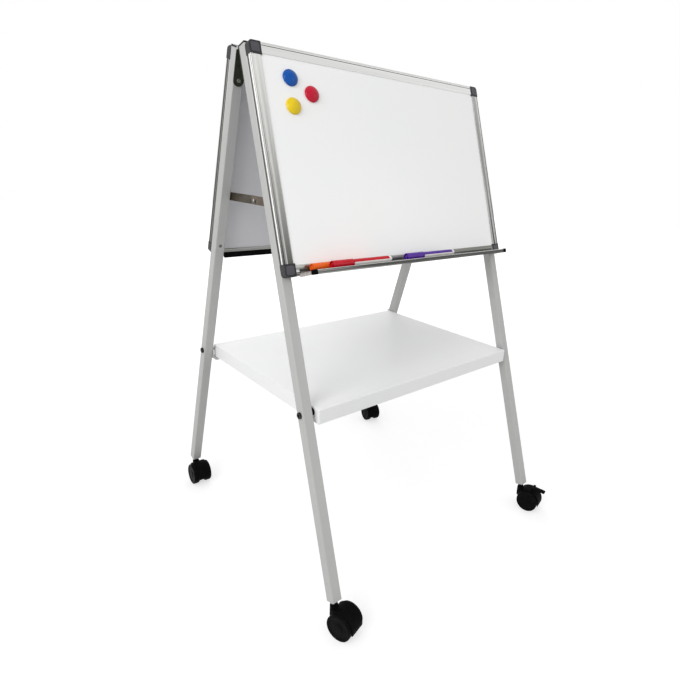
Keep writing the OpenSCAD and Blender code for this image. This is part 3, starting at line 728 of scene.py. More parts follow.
class Bench:
    """Turns meshes in millimetres into finished pieces that ride on the easel's bodies."""

    EXTRUSION = extrusion_tree()
    SCATTER = scatter_tree()
    ROW = row_tree()

    @staticmethod
    def mesh_of(bm: bmesh.types.BMesh, name: str) -> bpy.types.Mesh:
        """Writes a mesh out and frees it."""
        mesh = bpy.data.meshes.new(name)
        bm.to_mesh(mesh)
        bm.free()
        return mesh

    @classmethod
    def extruded(cls, loops: Sequence[Sequence[Pair]], length: float, finish: Finish) -> bmesh.types.BMesh:
        """Draws a profile out along Z, centred.

        Args:
            loops: The profile's outlines, the outer one and any hole.
            length: The extrusion's length.
            finish: The finish that it will have.

        Returns:
            The closed mesh.
        """
        bm = bmesh.new()
        for points in loops:
            verts = [bm.verts.new((x, y, 0)) for x, y in points]
            for i, vert in enumerate(verts):
                bm.edges.new((vert, verts[(i + 1) % len(verts)]))
        drawn = cls.EXTRUSION.run(cls.mesh_of(bm, "profile"), finish, {"Length": length})
        return moved(drawn, Matrix.Translation((0, 0, -length / 2)))

    @classmethod
    def scattered(
        cls, part: bmesh.types.BMesh, spots: Sequence[tuple[Vector, Vector]], size: Pair, finish: Finish
    ) -> bmesh.types.BMesh:
        """Sets a part on several spots.

        Args:
            part: The part, 1 mm in radius and height, standing along Z.
            spots: Place and direction of each.
            size: The part's radius and height.
            finish: The finish that they will have.

        Returns:
            The mesh of them all.
        """
        bm = bmesh.new()
        for place, _ in spots:
            bm.verts.new(place)
        base = cls.mesh_of(bm, "spots")
        ways = base.attributes.new("way", "FLOAT_VECTOR", "POINT")
        for item, (_, way) in zip(ways.data, spots):
            item.vector = way
        holder = bpy.data.objects.new("part", cls.mesh_of(part, "part"))
        bpy.context.scene.collection.objects.link(holder)
        made = cls.SCATTER.run(base, finish, {"Part": holder, "Width": size[0], "Height": size[1]})
        bpy.data.objects.remove(holder)
        return made

    @classmethod
    def ribs(cls, rib: bmesh.types.BMesh, count: int, pitch: float, finish: Finish) -> bmesh.types.BMesh:
        """Repeats a rib along +Y."""
        return cls.ROW.run(cls.mesh_of(rib, "rib"), finish, {"Count": count, "Pitch": pitch})

    @staticmethod
    def marked(bm: bmesh.types.BMesh) -> None:
        """Notes each point's place in its own piece, and how sharp its edge is, for the finishes."""
        lay = bm.verts.layers.float_vector.new("lay")
        rub = bm.verts.layers.float.new("rub")
        for vert in bm.verts:
            vert[lay] = vert.co * MM
            angles = [math.degrees(e.calc_face_angle()) for e in vert.link_edges if e.is_manifold]
            vert[rub] = min(max((max(angles, default=0) - RUB_FROM) / RUB_OVER, 0), 1)

    @classmethod
    def piece(
        cls,
        name: str,
        bm: bmesh.types.BMesh,
        place: Matrix,
        finish: Finish,
        node: str,
        stands: bool = True,
        others: Sequence[Finish] = (),
    ) -> bpy.types.Object:
        """Makes a finished piece.

        Args:
            name: The piece's name.
            bm: Its mesh in millimetres, in its own place.
            place: From that place to the easel's, in metres.
            finish: Its finish.
            node: The node that it belongs with.
            stands: Whether it stands for that node.
            others: Further finishes, which its faces may name by number.

        Returns:
            The piece.
        """
        cls.marked(bm)
        moved(bm, place @ Matrix.Diagonal((MM, MM, MM, 1)))
        made = bpy.data.objects.new(name, cls.mesh_of(bm, name))
        bpy.context.scene.collection.objects.link(made)
        for each in (finish, *others):
            made.data.materials.append(each.material())
        made.data.shade_smooth()
        made.data.set_sharp_from_angle(angle=math.radians(SHARP_ANGLE))
        even = made.modifiers.new("even", "WEIGHTED_NORMAL")
        even.keep_sharp = True
        graph = bpy.context.evaluated_depsgraph_get()
        plain = bpy.data.meshes.new_from_object(
            made.evaluated_get(graph), preserve_all_data_layers=True, depsgraph=graph
        )
        made.modifiers.clear()
        made.data = plain
        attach(made, BODY_OF[node])
        if stands:
            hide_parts(node)
        log.info("%s: %d faces on %s", name, len(plain.polygons), BODY_OF[node])
        return made

    @staticmethod
    def dress(node: str, finish: Finish) -> None:
        """Gives a node of the frame its finish."""
        shown = frame["nodes"][node]
        for slot in shown.material_slots:
            slot.material = finish.material()
        log.info("%s: dressed as %s", node, finish.name)


def pan_head() -> bmesh.types.BMesh:
    """A screw head of radius and height 1 with a round driving recess."""
    side = [(1.0, 0.0), (1.0, 0.25), (0.94, 0.55), (0.8, 0.82), (0.6, 0.97), (0.46, 1.0)]
    return lathe([(0, 0), *side, (0.4, 0.9), (0.36, 0.35), (0, 0.3)], 28)


def rivet_head() -> bmesh.types.BMesh:
    """A rivet head of radius and height 1 with a dimple."""
    profile = [(1.0, 0.0), (0.97, 0.3), (0.86, 0.62), (0.66, 0.88), (0.45, 1.0), (0.3, 0.96), (0.18, 0.8)]
    return lathe([(0, 0), *profile, (0, 0.76)], 28)


def socket_head() -> bmesh.types.BMesh:
    """A bolt head of radius and height 1 with a six-sided socket."""
    bm = lathe([(0, 0), (0.97, 0), (1.0, 0.06), (1.0, 0.8), (0.94, 0.95), (0.84, 1.0), (0, 1.0)], 48)
    socket = [f for f in bm.faces if len(f.verts) == 3 and f.normal.z > 0.9]
    bmesh.ops.delete(bm, geom=socket, context="FACES_ONLY")
    rim = [v for v in bm.verts if abs(v.co.z - 1.0) < 1e-6 and v.link_edges and v.co.xy.length > 0.5]
    rim.sort(key=lambda v: math.atan2(v.co.y, v.co.x))
    for v in [v for v in bm.verts if not v.link_faces]:
        bm.verts.remove(v)
    walls = []
    for height in (1.0, 0.45):
        ring = []
        for v in rim:
            a = math.atan2(v.co.y, v.co.x)
            reach = 0.46 / math.cos((a % (math.pi / 3)) - math.pi / 6)
            ring.append(bm.verts.new((reach * math.cos(a), reach * math.sin(a), height)))
        walls.append(ring)
    for first, last in ((rim, walls[0]), (walls[0], walls[1])):
        for i in range(len(rim)):
            k = (i + 1) % len(rim)
            bm.faces.new((first[i], first[k], last[k], last[i]))
    bm.faces.new(walls[1])
    bmesh.ops.recalc_face_normals(bm, faces=bm.faces)
    return bm


def hinge_axis() -> Vector:
    """The middle of the hinge axis, in metres."""
    low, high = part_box("hinge_pins")
    return (low + high) / 2


@dataclass(frozen=True)
class Stand:
    """Sizes that the leaning frames share, and where they lean from."""

    width: float = 600.0
    leg: float = 20.0
    leg_len: float = 976.0
    gap: float = 4.0
    drop: float = 1.0
    splay: float = math.radians(17)
    board_h: float = 400.0
    board_t: float = 14.0
    recess: float = 2.0
    shelf_down: float = 640.0
    stay_down: float = 271.0

    @property
    def leg_x(self) -> float:
        """Middle of the right leg."""
        return (self.width - self.leg) / 2

    @property
    def leg_mid(self) -> float:
        """Middle of a leg, outward from the hinge axis."""
        return self.gap + self.leg / 2

    @property
    def leg_back(self) -> float:
        """Where the board lies on the leg."""
        return self.gap + self.leg

    @property
    def leg_end(self) -> float:
        """Lower end of a leg, down from the hinge axis."""
        return self.drop + self.leg_len

    @property
    def face(self) -> float:
        """Face of the rails."""
        return self.leg_back + self.board_t

    @property
    def inner_x(self) -> float:
        """Inner face of the right leg."""
        return self.width / 2 - self.leg

    def lean(self, side: Side) -> Matrix:
        """From a leaning frame to the easel, in metres."""
        mirror = Matrix.Diagonal((1, side.value, 1, 1))
        turn = Matrix.Rotation(-self.splay, 4, "X")
        return Matrix.Translation(hinge_axis()) @ mirror @ turn

    def level(self, off: float, down: float) -> Pair:
        """A point of the front frame as its distance ahead of the hinge axis and below it, in mm."""
        ahead = down * math.sin(self.splay) + off * math.cos(self.splay)
        below = down * math.cos(self.splay) - off * math.sin(self.splay)
        return ahead, below


STAND = Stand()


@dataclass
class LegPair:
    """The two square tubes of a frame, with the plugs that take the casters."""

    side: Side
    corner: float = 2.0
    wall: float = 1.5
    foot_h: float = 58.0
    neck_r: float = 6.5
    neck_low: float = 48.3
    plug_h: float = 12.0
    plug_slip: float = 0.1

    def build(self) -> None:
        """Builds both tubes and both plugs."""
        plugs = []
        for hand in Hand:
            self.tube(hand)
            plugs.append(self.plug(hand))
        node = f"{self.side.word}_caster_sockets"
        Bench.piece(f"{self.side.word}_leg_plugs", merged(plugs), IN_PLACE, PAINTS.plastic, node)

    def tube(self, hand: Hand) -> None:
        """Builds one tube with round corners and an open bore."""
        inner = STAND.leg - 2 * self.wall
        loops = [rectangle(STAND.leg, STAND.leg, self.corner, steps=6), rectangle(inner, inner, 0.8, steps=3)]
        bm = Bench.extruded(loops, STAND.leg_len, PAINTS.leg)
        middle = spot(hand.value * STAND.leg_x, STAND.leg_mid, STAND.drop + STAND.leg_len / 2)
        moved(bm, Matrix.Translation(middle))
        node = f"{self.side.word}_leg_{hand.word}"
        Bench.piece(f"{node}_tube", bm, STAND.lean(self.side), PAINTS.leg, node)

    def plug(self, hand: Hand) -> bmesh.types.BMesh:
        """Makes a plug in the tube's end with an upright neck.

        Args:
            hand: Which leg.

        Returns:
            The mesh in the easel's millimetres.
        """
        half = STAND.leg / 2 - self.wall - self.plug_slip
        ends = (-STAND.leg_end, -STAND.leg_end + self.plug_h)
        body = block((-half, half), (-half, half), ends, 0.6)
        moved(body, Matrix.Translation(spot(hand.value * STAND.leg_x, STAND.leg_mid, 0)))
        metres = Matrix.Diagonal((MM, MM, MM, 1))
        moved(body, metres.inverted() @ STAND.lean(self.side) @ metres)
        ahead, _ = STAND.level(STAND.leg_mid, STAND.leg_end)
        y = hinge_axis().y / MM - self.side.value * ahead
        r, low, top = self.neck_r, self.neck_low, self.foot_h + 1.4
        profile = [(r - 0.5, low), (r, low + 0.5), (r, low + 2), (r - 0.5, low + 2.5), (r - 0.5, top)]
        neck = lathe([(0, low), *profile, (0, top)], 48)
        moved(neck, Matrix.Translation((hand.value * STAND.leg_x, y, 0)))
        return merged([body, neck])


@dataclass
class Board:
    """A framed whiteboard: four rails, four corner caps, the writing sheet and its backing."""

    side: Side
    rail_w: float = 19.4
    proud: float = 0.6
    cap: float = 23.0
    cap_corner: float = 7.0
    pad: float = 15.5
    pad_h: float = 0.6
    side_deep: float = 0.15
    side_recess: float = 1.3
    side_bead: Pair = (6.0, 10.0)
    side_low: Pair = (1.6, 6.0)
    side_high: Pair = (10.0, 12.3)
    groove: Pair = (5.0, 6.3)
    # The rails are one aluminium: each tone paints the light and shade on that rail, the top light, the
    # bottom dark, and the side rails fading from light at the top to dark at the bottom, the right one
    # darker.
    tones: dict[str, Finish] = field(
        default_factory=lambda: {
            "top": Paints.aluminium("top", (228, 228, 226)),
            "bottom": Paints.aluminium("bottom", (122, 122, 116)),
            "left": Paints.aluminium("left", (222, 222, 219), (76, 76, 73)),
            "right": Paints.aluminium("right", (48, 48, 46), (168, 168, 166)),
        }
    )

    def build(self) -> None:
        """Builds the rails and caps and dresses the sheets."""
        Bench.dress(f"{self.side.word}_writing_sheet", PAINTS.enamel)
        Bench.dress(f"{self.side.word}_panel_core", PAINTS.backing)
        node, lean = f"{self.side.word}_rails", STAND.lean(self.side)
        # Painted shade in the recesses and face channel; the side bead takes a painted highlight on the front
        # board and painted shade on the rear one.
        inner = (PAINTS.groove, PAINTS.bead if self.side is Side.FRONT else PAINTS.groove)
        for number, (name, bm) in enumerate(self.rails().items()):
            title = f"{self.side.word}_rail_{name}"
            Bench.piece(title, bm, lean @ self.rail_place(name), self.tones[name], node, number == 0, inner)
        node = f"{self.side.word}_corner_caps"
        Bench.piece(node + "_moulded", self.caps(), lean, PAINTS.corner, node, others=(PAINTS.pad,))

    def profile(self, lip: float) -> list[Pair]:
        """Section of a rail: inward from its outer edge, and outward from its back.

        Args:
            lip: How far its back reaches inward.

        Returns:
            The outline with its bead, grooves and lips.
        """
        t, w = STAND.board_t, self.rail_w
        front = t - 0.3
        bead = [(2.6, t - 0.5, 0), (2.9, t - 0.12, 0), (3.9, t, 0), (4.9, t - 0.12, 0), (5.2, t - 0.5, 0)]
        corners = [
            (0, 0, 0.8), (lip, 0, 0.3), (lip, 1.4, 0.3), (7, 1.4, 0), (7, 12.55, 0), (18, 12.55, 0),
            (18, 12, 0.2), (w, 12, 0.3), (w, front, 0.6), (6.2, front, 0.25), (6.2, t - 0.9, 0),
            (5.2, t - 0.9, 0),
            *reversed(bead), (2.6, t - 1.0, 0), (1.9, t - 1.0, 0), (1.9, t, 0.3), (0, t, 1.1),
            (0, 12.4, 0.2), (1.0, 12.0, 0.2), (1.0, 10.4, 0.3), (0, 9.8, 2.0), (0, 6.2, 2.0), (1.0, 5.6, 0.3),
            (1.0, 1.9, 0.3), (0, 1.5, 0.2),
        ]
        return fillet(corners)

    def rails(self) -> dict[str, bmesh.types.BMesh]:
        """Draws the four rails out along their own Z."""
        flat, upright = STAND.width - 2 * self.cap, STAND.board_h - 2 * self.cap
        sizes = {"top": (8.0, flat), "bottom": (8.0, flat), "left": (14.0, upright), "right": (14.0, upright)}
        made = {}
        for name, (lip, length) in sizes.items():
            made[name] = Bench.extruded([self.profile(lip)], length, self.tones[name])
            self.shade(made[name], name in ("top", "bottom"))
        return made

    def shade(self, bm: bmesh.types.BMesh, flat: bool) -> None:
        """Sets which faces of a rail take a further finish of painted shade and painted highlight.

        Args:
            bm: The rail. Its recesses take the first further finish, a painted shade, and the bead between
                them the second, a painted highlight on the front board and painted shade on the rear.
            flat: Whether the channel in its face takes the painted shade too.
        """
        t = STAND.board_t
        for face in bm.faces:
            x, y, _ = face.calc_center_median()
            if abs(face.normal.z) > 0.5:
                continue
            inside = any(low < y < high for low, high in (self.side_low, self.side_high))
            recess = self.side_deep < x < self.side_recess and inside
            groove = flat and self.groove[0] < x < self.groove[1] and t - 1.2 < y < t - 0.4
            if recess or groove:
                face.material_index = 1
            elif x < self.side_deep and self.side_bead[0] < y < self.side_bead[1]:
                face.material_index = 2

    def rail_place(self, name: str) -> Matrix:
        """Where a rail's profile stands in the leaning frame, in metres.

        Args:
            name: Which rail.

        Returns:
            The matrix, whose X runs inward and whose Y runs outward.
        """
        middle = STAND.drop + STAND.board_h / 2
        half_w, half_h = STAND.width / 2 - self.proud, STAND.board_h / 2 - self.proud
        back = STAND.leg_back
        origins = {
            "top": (spot(0, back, middle - half_h), (0, 0, -1)),
            "bottom": (spot(0, back, middle + half_h), (0, 0, 1)),
            "left": (spot(-half_w, back, middle), (1, 0, 0)),
            "right": (spot(half_w, back, middle), (-1, 0, 0)),
        }
        origin, inward = origins[name]
        return axes(origin * MM, inward, (0, -1, 0))

    def caps(self) -> bmesh.types.BMesh:
        """Makes the four corner caps, each with its raised pad."""
        depth = STAND.board_t + self.proud
        parts = []
        size, middle = self.cap, (self.cap / 2, self.cap / 2)
        outline = fillet([(0, 0, self.cap_corner), (size, 0, 0.8), (size, size, 0.8), (0, size, 0.8)], 6)
        square = rectangle(self.pad, self.pad, 2.6, middle)
        for x in (-1, 1):
            for z in (-1, 1):
                body = soften(prism(outline, 0, depth), 0.9, 3)
                pad = soften(prism(square, depth - 1, depth + self.pad_h), 0.45)
                # The pad takes the lighter tone of the same plastic, painted light on the caps' fronts.
                for face in pad.faces:
                    face.material_index = 1
                down = STAND.drop + (0 if z > 0 else STAND.board_h)
                corner = spot(x * STAND.width / 2, STAND.leg_back, down)
                matrix = Matrix.Translation(corner) @ Matrix(
                    ((-x, 0, 0, 0), (0, 0, -1, 0), (0, -z, 0, 0), (0, 0, 0, 1))
                )
                parts += [moved(body, matrix), moved(pad, matrix)]
        return merged(parts)


@dataclass
class PenTray:
    """The extruded tray under a board, its end plates, and the bar that carries the rear one."""

    side: Side
    length: float = 543.0
    plate_t: float = 2.0
    reach: float = 41.0
    wall: float = 1.4
    floor: float = 396.5
    apron: float = 6.5
    ridge: float = 1.2
    hanger_t: float = 6.0
    hanger_h: float = 14.0

    @property
    def web(self) -> float:
        """Top of the rear tray's web, down from the hinge axis."""
        return STAND.drop + STAND.board_h - 0.6

    @property
    def bar_back(self) -> float:
        """Inner face of the rear bar, outward from the hinge axis."""
        return STAND.leg_back + 1

    def build(self) -> None:
        """Builds the extrusion and its fittings."""
        lean = STAND.lean(self.side)
        across = axes((0, 0, 0), (0, -1, 0), (0, 0, -1))
        word = self.side.word
        # The tray's dark aluminium is a painted shade under its lip; the faces along the top of its front
        # edge take a painted highlight.
        tray = Bench.extruded([self.profile()], self.length - 2 * self.plate_t, PAINTS.tray)
        for face in tray.faces:
            off, down, _ = face.calc_center_median()
            if off > STAND.face + self.reach - self.wall - 0.6 and down < self.floor - 0.2:
                face.material_index = 1
        at, ridge_highlight = lean @ across, (PAINTS.bead,)
        Bench.piece(f"{word}_tray_extrusion", tray, at, PAINTS.tray, f"{word}_pen_tray", others=ridge_highlight)
        node = f"{word}_tray_fittings"
        Bench.piece(f"{word}_tray_end_plates", self.plates(), lean, PAINTS.end_plate, node)
        Bench.piece(f"{word}_tray_plugs", self.plugs(), lean, PAINTS.plastic, node, False)
        if self.side is Side.REAR:
            Bench.piece(f"{word}_tray_bar", self.bar(), lean, PAINTS.plastic, node, False)

    def profile(self) -> list[Pair]:
        """Section of the tray: outward from the hinge axis, and down from it.

        Returns:
            The outline of floor, upstand and apron, and at the rear the web under the rail.
        """
        back, out, w = STAND.face, STAND.face + self.reach, self.wall
        top, low = self.floor, self.floor + self.apron
        web = self.web
        inner = self.bar_back + self.hanger_t
        corners = [
            (back + w, top - 8, 0.5), (back + w, top, 0.6), (out - w - 0.3, top, 0.5),
            (out - w - 0.3, top - self.ridge, 0.6), (out, top - 1.6, 0.7), (out, low, 0.6),
            (out - 3 * w, low, 0.4), (out - 3 * w, low - w, 0.4), (out - w, low - w, 0.4),
            (out - w, top + w, 0.5),
        ]
        if self.side is Side.FRONT:
            corners += [(back, top + w, 0.5), (back, top - 8, 0.5)]
            return fillet(corners)
        corners += [
            (back + w, top + w, 0.5), (back + w, web + w, 0.4), (inner + w, web + w, 0.4),
            (inner + w, web + self.hanger_h - w, 0.3), (inner, web + self.hanger_h - w, 0.3),
            (inner, web, 0.5), (back, web, 0.2), (back, top - 8, 0.5),
        ]
        return fillet(corners)

    def bar(self) -> bmesh.types.BMesh:
        """Makes the bar under the rail."""
        web, back = self.web, self.bar_back
        half = self.length / 2 - 5
        return block((-half, half), (-(back + self.hanger_t), -back), (-(web + self.hanger_h), -web), 0.8)

    def plugs(self) -> bmesh.types.BMesh:
        """Makes the plugs in the ends of the apron."""
        parts = []
        out = STAND.face + self.reach
        for hand in Hand:
            ends = sorted((hand.value * (self.length / 2 - 11), hand.value * self.length / 2))
            low = -(self.floor + self.apron)
            tall = (low - 0.3, low + self.apron + 2)
            parts.append(block(tuple(ends), (-out - 0.4, -(out - 5.4)), tall, 1.1, 3))
        return merged(parts)

    def plates(self) -> bmesh.types.BMesh:
        """Makes the two end plates."""
        parts = []
        for hand in Hand:
            ends = sorted((hand.value * (self.length / 2 - self.plate_t), hand.value * self.length / 2))
            back, out = STAND.face, STAND.face + self.reach - 5.5
            corners = [
                (back, self.floor, 0.8), (out, self.floor, 0.6), (out, self.floor + self.apron, 0.6),
                (back, self.floor + self.apron, 1.5),
            ]
            body = soften(prism(fillet(corners), ends[0], ends[1]), 0.4)
            parts.append(moved(body, axes((0, 0, 0), (0, -1, 0), (0, 0, -1))))
        return merged(parts)


@dataclass
class TopHinge:
    """The hinge leaves of one frame, with knuckles on the axis and a flange over each leg."""

    side: Side
    leaf_t: float = 1.5
    leaf_len: float = 63.0
    knuckle_r: float = 3.0
    knuckle_len: float = 5.0
    slip: float = 0.3

    def build(self) -> None:
        """Builds both leaves."""
        parts = []
        for hand in Hand:
            parts += [moved(bm, Matrix.Translation((hand.value * STAND.leg_x, 0, 0))) for bm in self.leaf()]
        node = f"{self.side.word}_hinge_leaves"
        lean, black = STAND.lean(self.side), (PAINTS.bolt,)
        Bench.piece(f"{node}_pressed", merged(parts), lean, PAINTS.hinge, node, others=black)

    def leaf(self) -> list[bmesh.types.BMesh]:
        """Makes a leaf.

        Returns:
            Its plate with a round end, its flange and its knuckles.
        """
        half, clear = STAND.leg / 2, self.knuckle_r + self.slip
        centre = self.leaf_len - half
        arc = [math.radians(180 + 180 * k / 16) for k in range(17)]
        outline = [(half * math.cos(a), -centre + half * math.sin(a)) for a in arc]
        outline += [(half, -clear), (-half, -clear)]
        plate = soften(prism(outline, STAND.gap - self.leaf_t, STAND.gap), 0.3)
        moved(plate, Matrix(((1, 0, 0, 0), (0, 0, -1, 0), (0, 1, 0, 0), (0, 0, 0, 1))))
        top = STAND.drop - self.leaf_t
        flange = block((-half, half), (-STAND.leg_back, -STAND.gap + 1), (-STAND.drop, -top + 1.8), 0.3)
        for face in flange.faces:
            face.material_index = 1
        parts = [plate, flange]
        for low, high in self.knuckles():
            ring = [(1.55, low), (self.knuckle_r - 0.3, low), (self.knuckle_r, low + 0.3)]
            ring += [(self.knuckle_r, high - 0.3), (self.knuckle_r - 0.3, high), (1.55, high)]
            parts.append(moved(lathe(ring, 32), along((0, 0, 0), (1, 0, 0))))
            parts.append(block((low, high), (-STAND.gap - 0.2, -2), (-clear - 0.5, -top), 0.3))
        return parts

    def knuckles(self) -> list[Pair]:
        """Stations of this side's knuckles along a leg's width."""
        half = STAND.leg / 2
        if self.side is Side.FRONT:
            return [(-half, -half + self.knuckle_len), (half - self.knuckle_len, half)]
        inner = half - self.knuckle_len - self.slip
        return [(-inner, inner)]


@dataclass
class HingePins:
    """The two pins on the hinge axis, with their heads."""

    radius: float = 1.5
    head_r: float = 2.5
    head_h: float = 1.0

    def build(self) -> None:
        """Builds both pins."""
        half = STAND.leg / 2
        end = half + self.head_h
        side = [(self.head_r * 0.6, end), (self.head_r, end - 0.4), (self.head_r, half), (self.radius, half)]
        profile = [(0, end), *side, *[(r, -z) for r, z in reversed(side)], (0, -end)]
        pins = [
            moved(lathe(profile, 24), along((hand.value * STAND.leg_x, 0, 0), (1, 0, 0))) for hand in Hand
        ]
        place = Matrix.Translation(hinge_axis())
        Bench.piece("hinge_pins_turned", merged(pins), place, PAINTS.steel, "hinge_pins")


@dataclass
class Fasteners:
    """Screws and rivets of one frame, and the bolts through its legs."""

    side: Side
    leaf_down: float = 53.0
    upper_down: float = 33.0
    lower_down: float = 375.0
    head: Pair = (3.6, 2.0)
    board_head: Pair = (3.4, 0.9)
    rivet: Pair = (4.2, 1.0)
    bolt: Pair = (6.0, 3.5)
    link_t: float = 1.8
    link_step: float = 2.0
    link_slip: float = 0.1
    pivot_from: float = 254.0
    ledge_from: float = 274.6
    nut: Pair = (275.0, 278.0)

    def build(self) -> None:
        """Builds the screws, rivets and bolts."""
        lean, word = STAND.lean(self.side), self.side.word
        inward, node = Vector((0, 1, 0)), f"{self.side.word}_screws"
        leaf = [(spot(h.value * STAND.leg_x, STAND.gap - 1.5, self.leaf_down), inward) for h in Hand]
        bm = Bench.scattered(pan_head(), leaf, self.head, PAINTS.screw)
        Bench.piece(f"{word}_leaf_screws", bm, lean, PAINTS.screw, node)
        downs = (self.upper_down, self.lower_down)
        board = [(spot(h.value * STAND.leg_x, STAND.gap, d), inward) for h in Hand for d in downs]
        bm = Bench.scattered(pan_head(), board, self.board_head, PAINTS.screw)
        Bench.piece(f"{word}_board_screws", bm, lean, PAINTS.screw, node, False)
        step = 0 if self.side is Side.FRONT else self.link_step
        link_in = STAND.inner_x - self.link_slip - self.link_t - step
        rivets = [
            (spot(h.value * link_in, STAND.leg_mid, STAND.stay_down), Vector((-h.value, 0, 0))) for h in Hand
        ]
        bm = Bench.scattered(rivet_head(), rivets, self.rivet, PAINTS.steel)
        Bench.piece(f"{word}_stay_rivets", bm, lean, PAINTS.steel, node, False)
        self.bolts()

    def bolts(self) -> None:
        """Builds the bolts at the shelf, and the nuts that hold the ledges."""
        node = "shelf_pivot_bolts" if self.side is Side.FRONT else "ledge_bolts"
        end, down = STAND.width / 2, STAND.shelf_down
        spots = [(spot(h.value * end, STAND.leg_mid, down), Vector((h.value, 0, 0))) for h in Hand]
        parts = [Bench.scattered(socket_head(), spots, self.bolt, PAINTS.bolt)]
        tip = self.pivot_from if self.side is Side.FRONT else self.ledge_from
        for h in Hand:
            line = along(spot(0, STAND.leg_mid, down), (h.value, 0, 0))
            shank = lathe([(0, tip), (2.6, tip), (3.0, tip + 0.5), (3.0, end), (0, end)], 32)
            parts.append(moved(shank, line))
            if self.side is Side.REAR:
                six = [(5.5 * math.cos(math.pi * k / 3), 5.5 * math.sin(math.pi * k / 3)) for k in range(6)]
                parts.append(moved(soften(prism(six, *self.nut), 0.3), line))
        Bench.piece(f"{node}_turned", merged(parts), STAND.lean(self.side), PAINTS.bolt, node)


@dataclass
class FoldingStay:
    """One of the two stays between the frames: a front and a rear link, riveted in the middle."""

    hand: Hand
    height: float = 16.0
    thick: float = 1.8
    front_len: float = 83.0
    step: float = 2.0
    slip: float = 0.1
    rivet: Pair = (4.2, 1.0)
    tail: Pair = (2.2, 0.08)
    slots: Pair = (73.5, 97.5)

    def build(self) -> None:
        """Builds both links, their rivet, a light steel disc at its end as a painted highlight, and dark
        crescents of painted shadow beside it.
        """
        ahead, below = STAND.level(STAND.leg_mid, STAND.stay_down)
        axis = hinge_axis() / MM
        x = STAND.inner_x - self.slip - self.thick / 2
        z = axis.z - below
        rear_len = 2 * ahead - self.front_len
        h, way = self.hand.value, Vector((self.hand.value, 0, 0))
        front = moved(self.strip(self.front_len), Matrix.Translation((h * x, axis.y - ahead, z)))
        front_node = self.link("front", front, PAINTS.zinc)
        rear_x = h * (x - self.step)
        turned = Matrix.Translation((rear_x, axis.y + ahead, z)) @ Matrix.Diagonal((1, -1, 1, 1))
        rear = moved(self.strip(rear_len), turned)
        middle = Vector((rear_x - h * self.thick / 2, axis.y + ahead - rear_len, z))
        head = Bench.scattered(rivet_head(), [(middle, -way)], self.rivet, PAINTS.steel)
        # The rear link takes a darker copy of the zinc, a painted shade.
        node = self.link("rear", rear, PAINTS.olive)
        Bench.piece(f"stay_rivet_{self.hand.word}", head, IN_PLACE, PAINTS.steel, node, False)
        # The rivet's end on the front link: a steel disc hardly proud of the strip, whose light colour is a
        # painted highlight on the rivet.
        outer = h * (x + self.thick / 2)
        tail = Vector((outer, axis.y - ahead + self.front_len, z))
        bm = Bench.scattered(rivet_head(), [(tail, way)], self.tail, PAINTS.steel)
        Bench.piece(f"stay_tail_{self.hand.word}", bm, IN_PLACE, PAINTS.steel, front_node, False)
        # Dark crescents beside the rivet on both links' outer faces: painted shadow.
        marks = (
            (front_node, outer, self.slots[0], 1),
            (node, outer - h * self.step, self.slots[1], -1),
        )
        for owner, face_x, run, turn in marks:
            corner = (face_x, axis.y - ahead + run, z - 2.5)
            mark = moved(self.slot(turn), axes(corner, (0, 1, 0), (0, 0, 1)))
            Bench.piece(f"{owner}_slot", mark, IN_PLACE, PAINTS.bolt, owner, False)

    def slot(self, turn: int) -> bmesh.types.BMesh:
        """Makes a dark crescent of painted shadow, bulging to the front for 1 and to the rear for -1."""
        arc = [math.radians(-62 + 124 * k / 10) for k in range(11)]
        outline = [(turn * (10.0 * math.cos(a) - 4.0), 5.0 * math.sin(a)) for a in arc]
        outline += [(turn * (4.0 * math.cos(a) - 4.0), 4.2 * math.sin(a)) for a in reversed(arc)]
        return prism(outline, -0.07, 0.07)

    def link(self, side: str, bm: bmesh.types.BMesh, finish: Finish) -> str:
        """Makes a link's piece and gives its node."""
        node = f"stay_link_{side}_{self.hand.word}"
        Bench.piece(f"{node}_strip", bm, IN_PLACE, finish, node)
        return node

    def strip(self, length: float) -> bmesh.types.BMesh:
        """Makes a strip with round ends, from one rivet along +Y to the other.

        Args:
            length: Distance of its rivets.

        Returns:
            The strip.
        """
        r = self.height / 2
        arc = [math.radians(90 + 180 * k / 20) for k in range(21)]
        outline = [(r * math.cos(a), r * math.sin(a)) for a in arc]
        outline += [(length - r * math.cos(a), -r * math.sin(a)) for a in arc]
        body = soften(prism(outline, -self.thick / 2, self.thick / 2), 0.3)
        return moved(body, axes((0, 0, 0), (0, 1, 0), (0, 0, 1)))


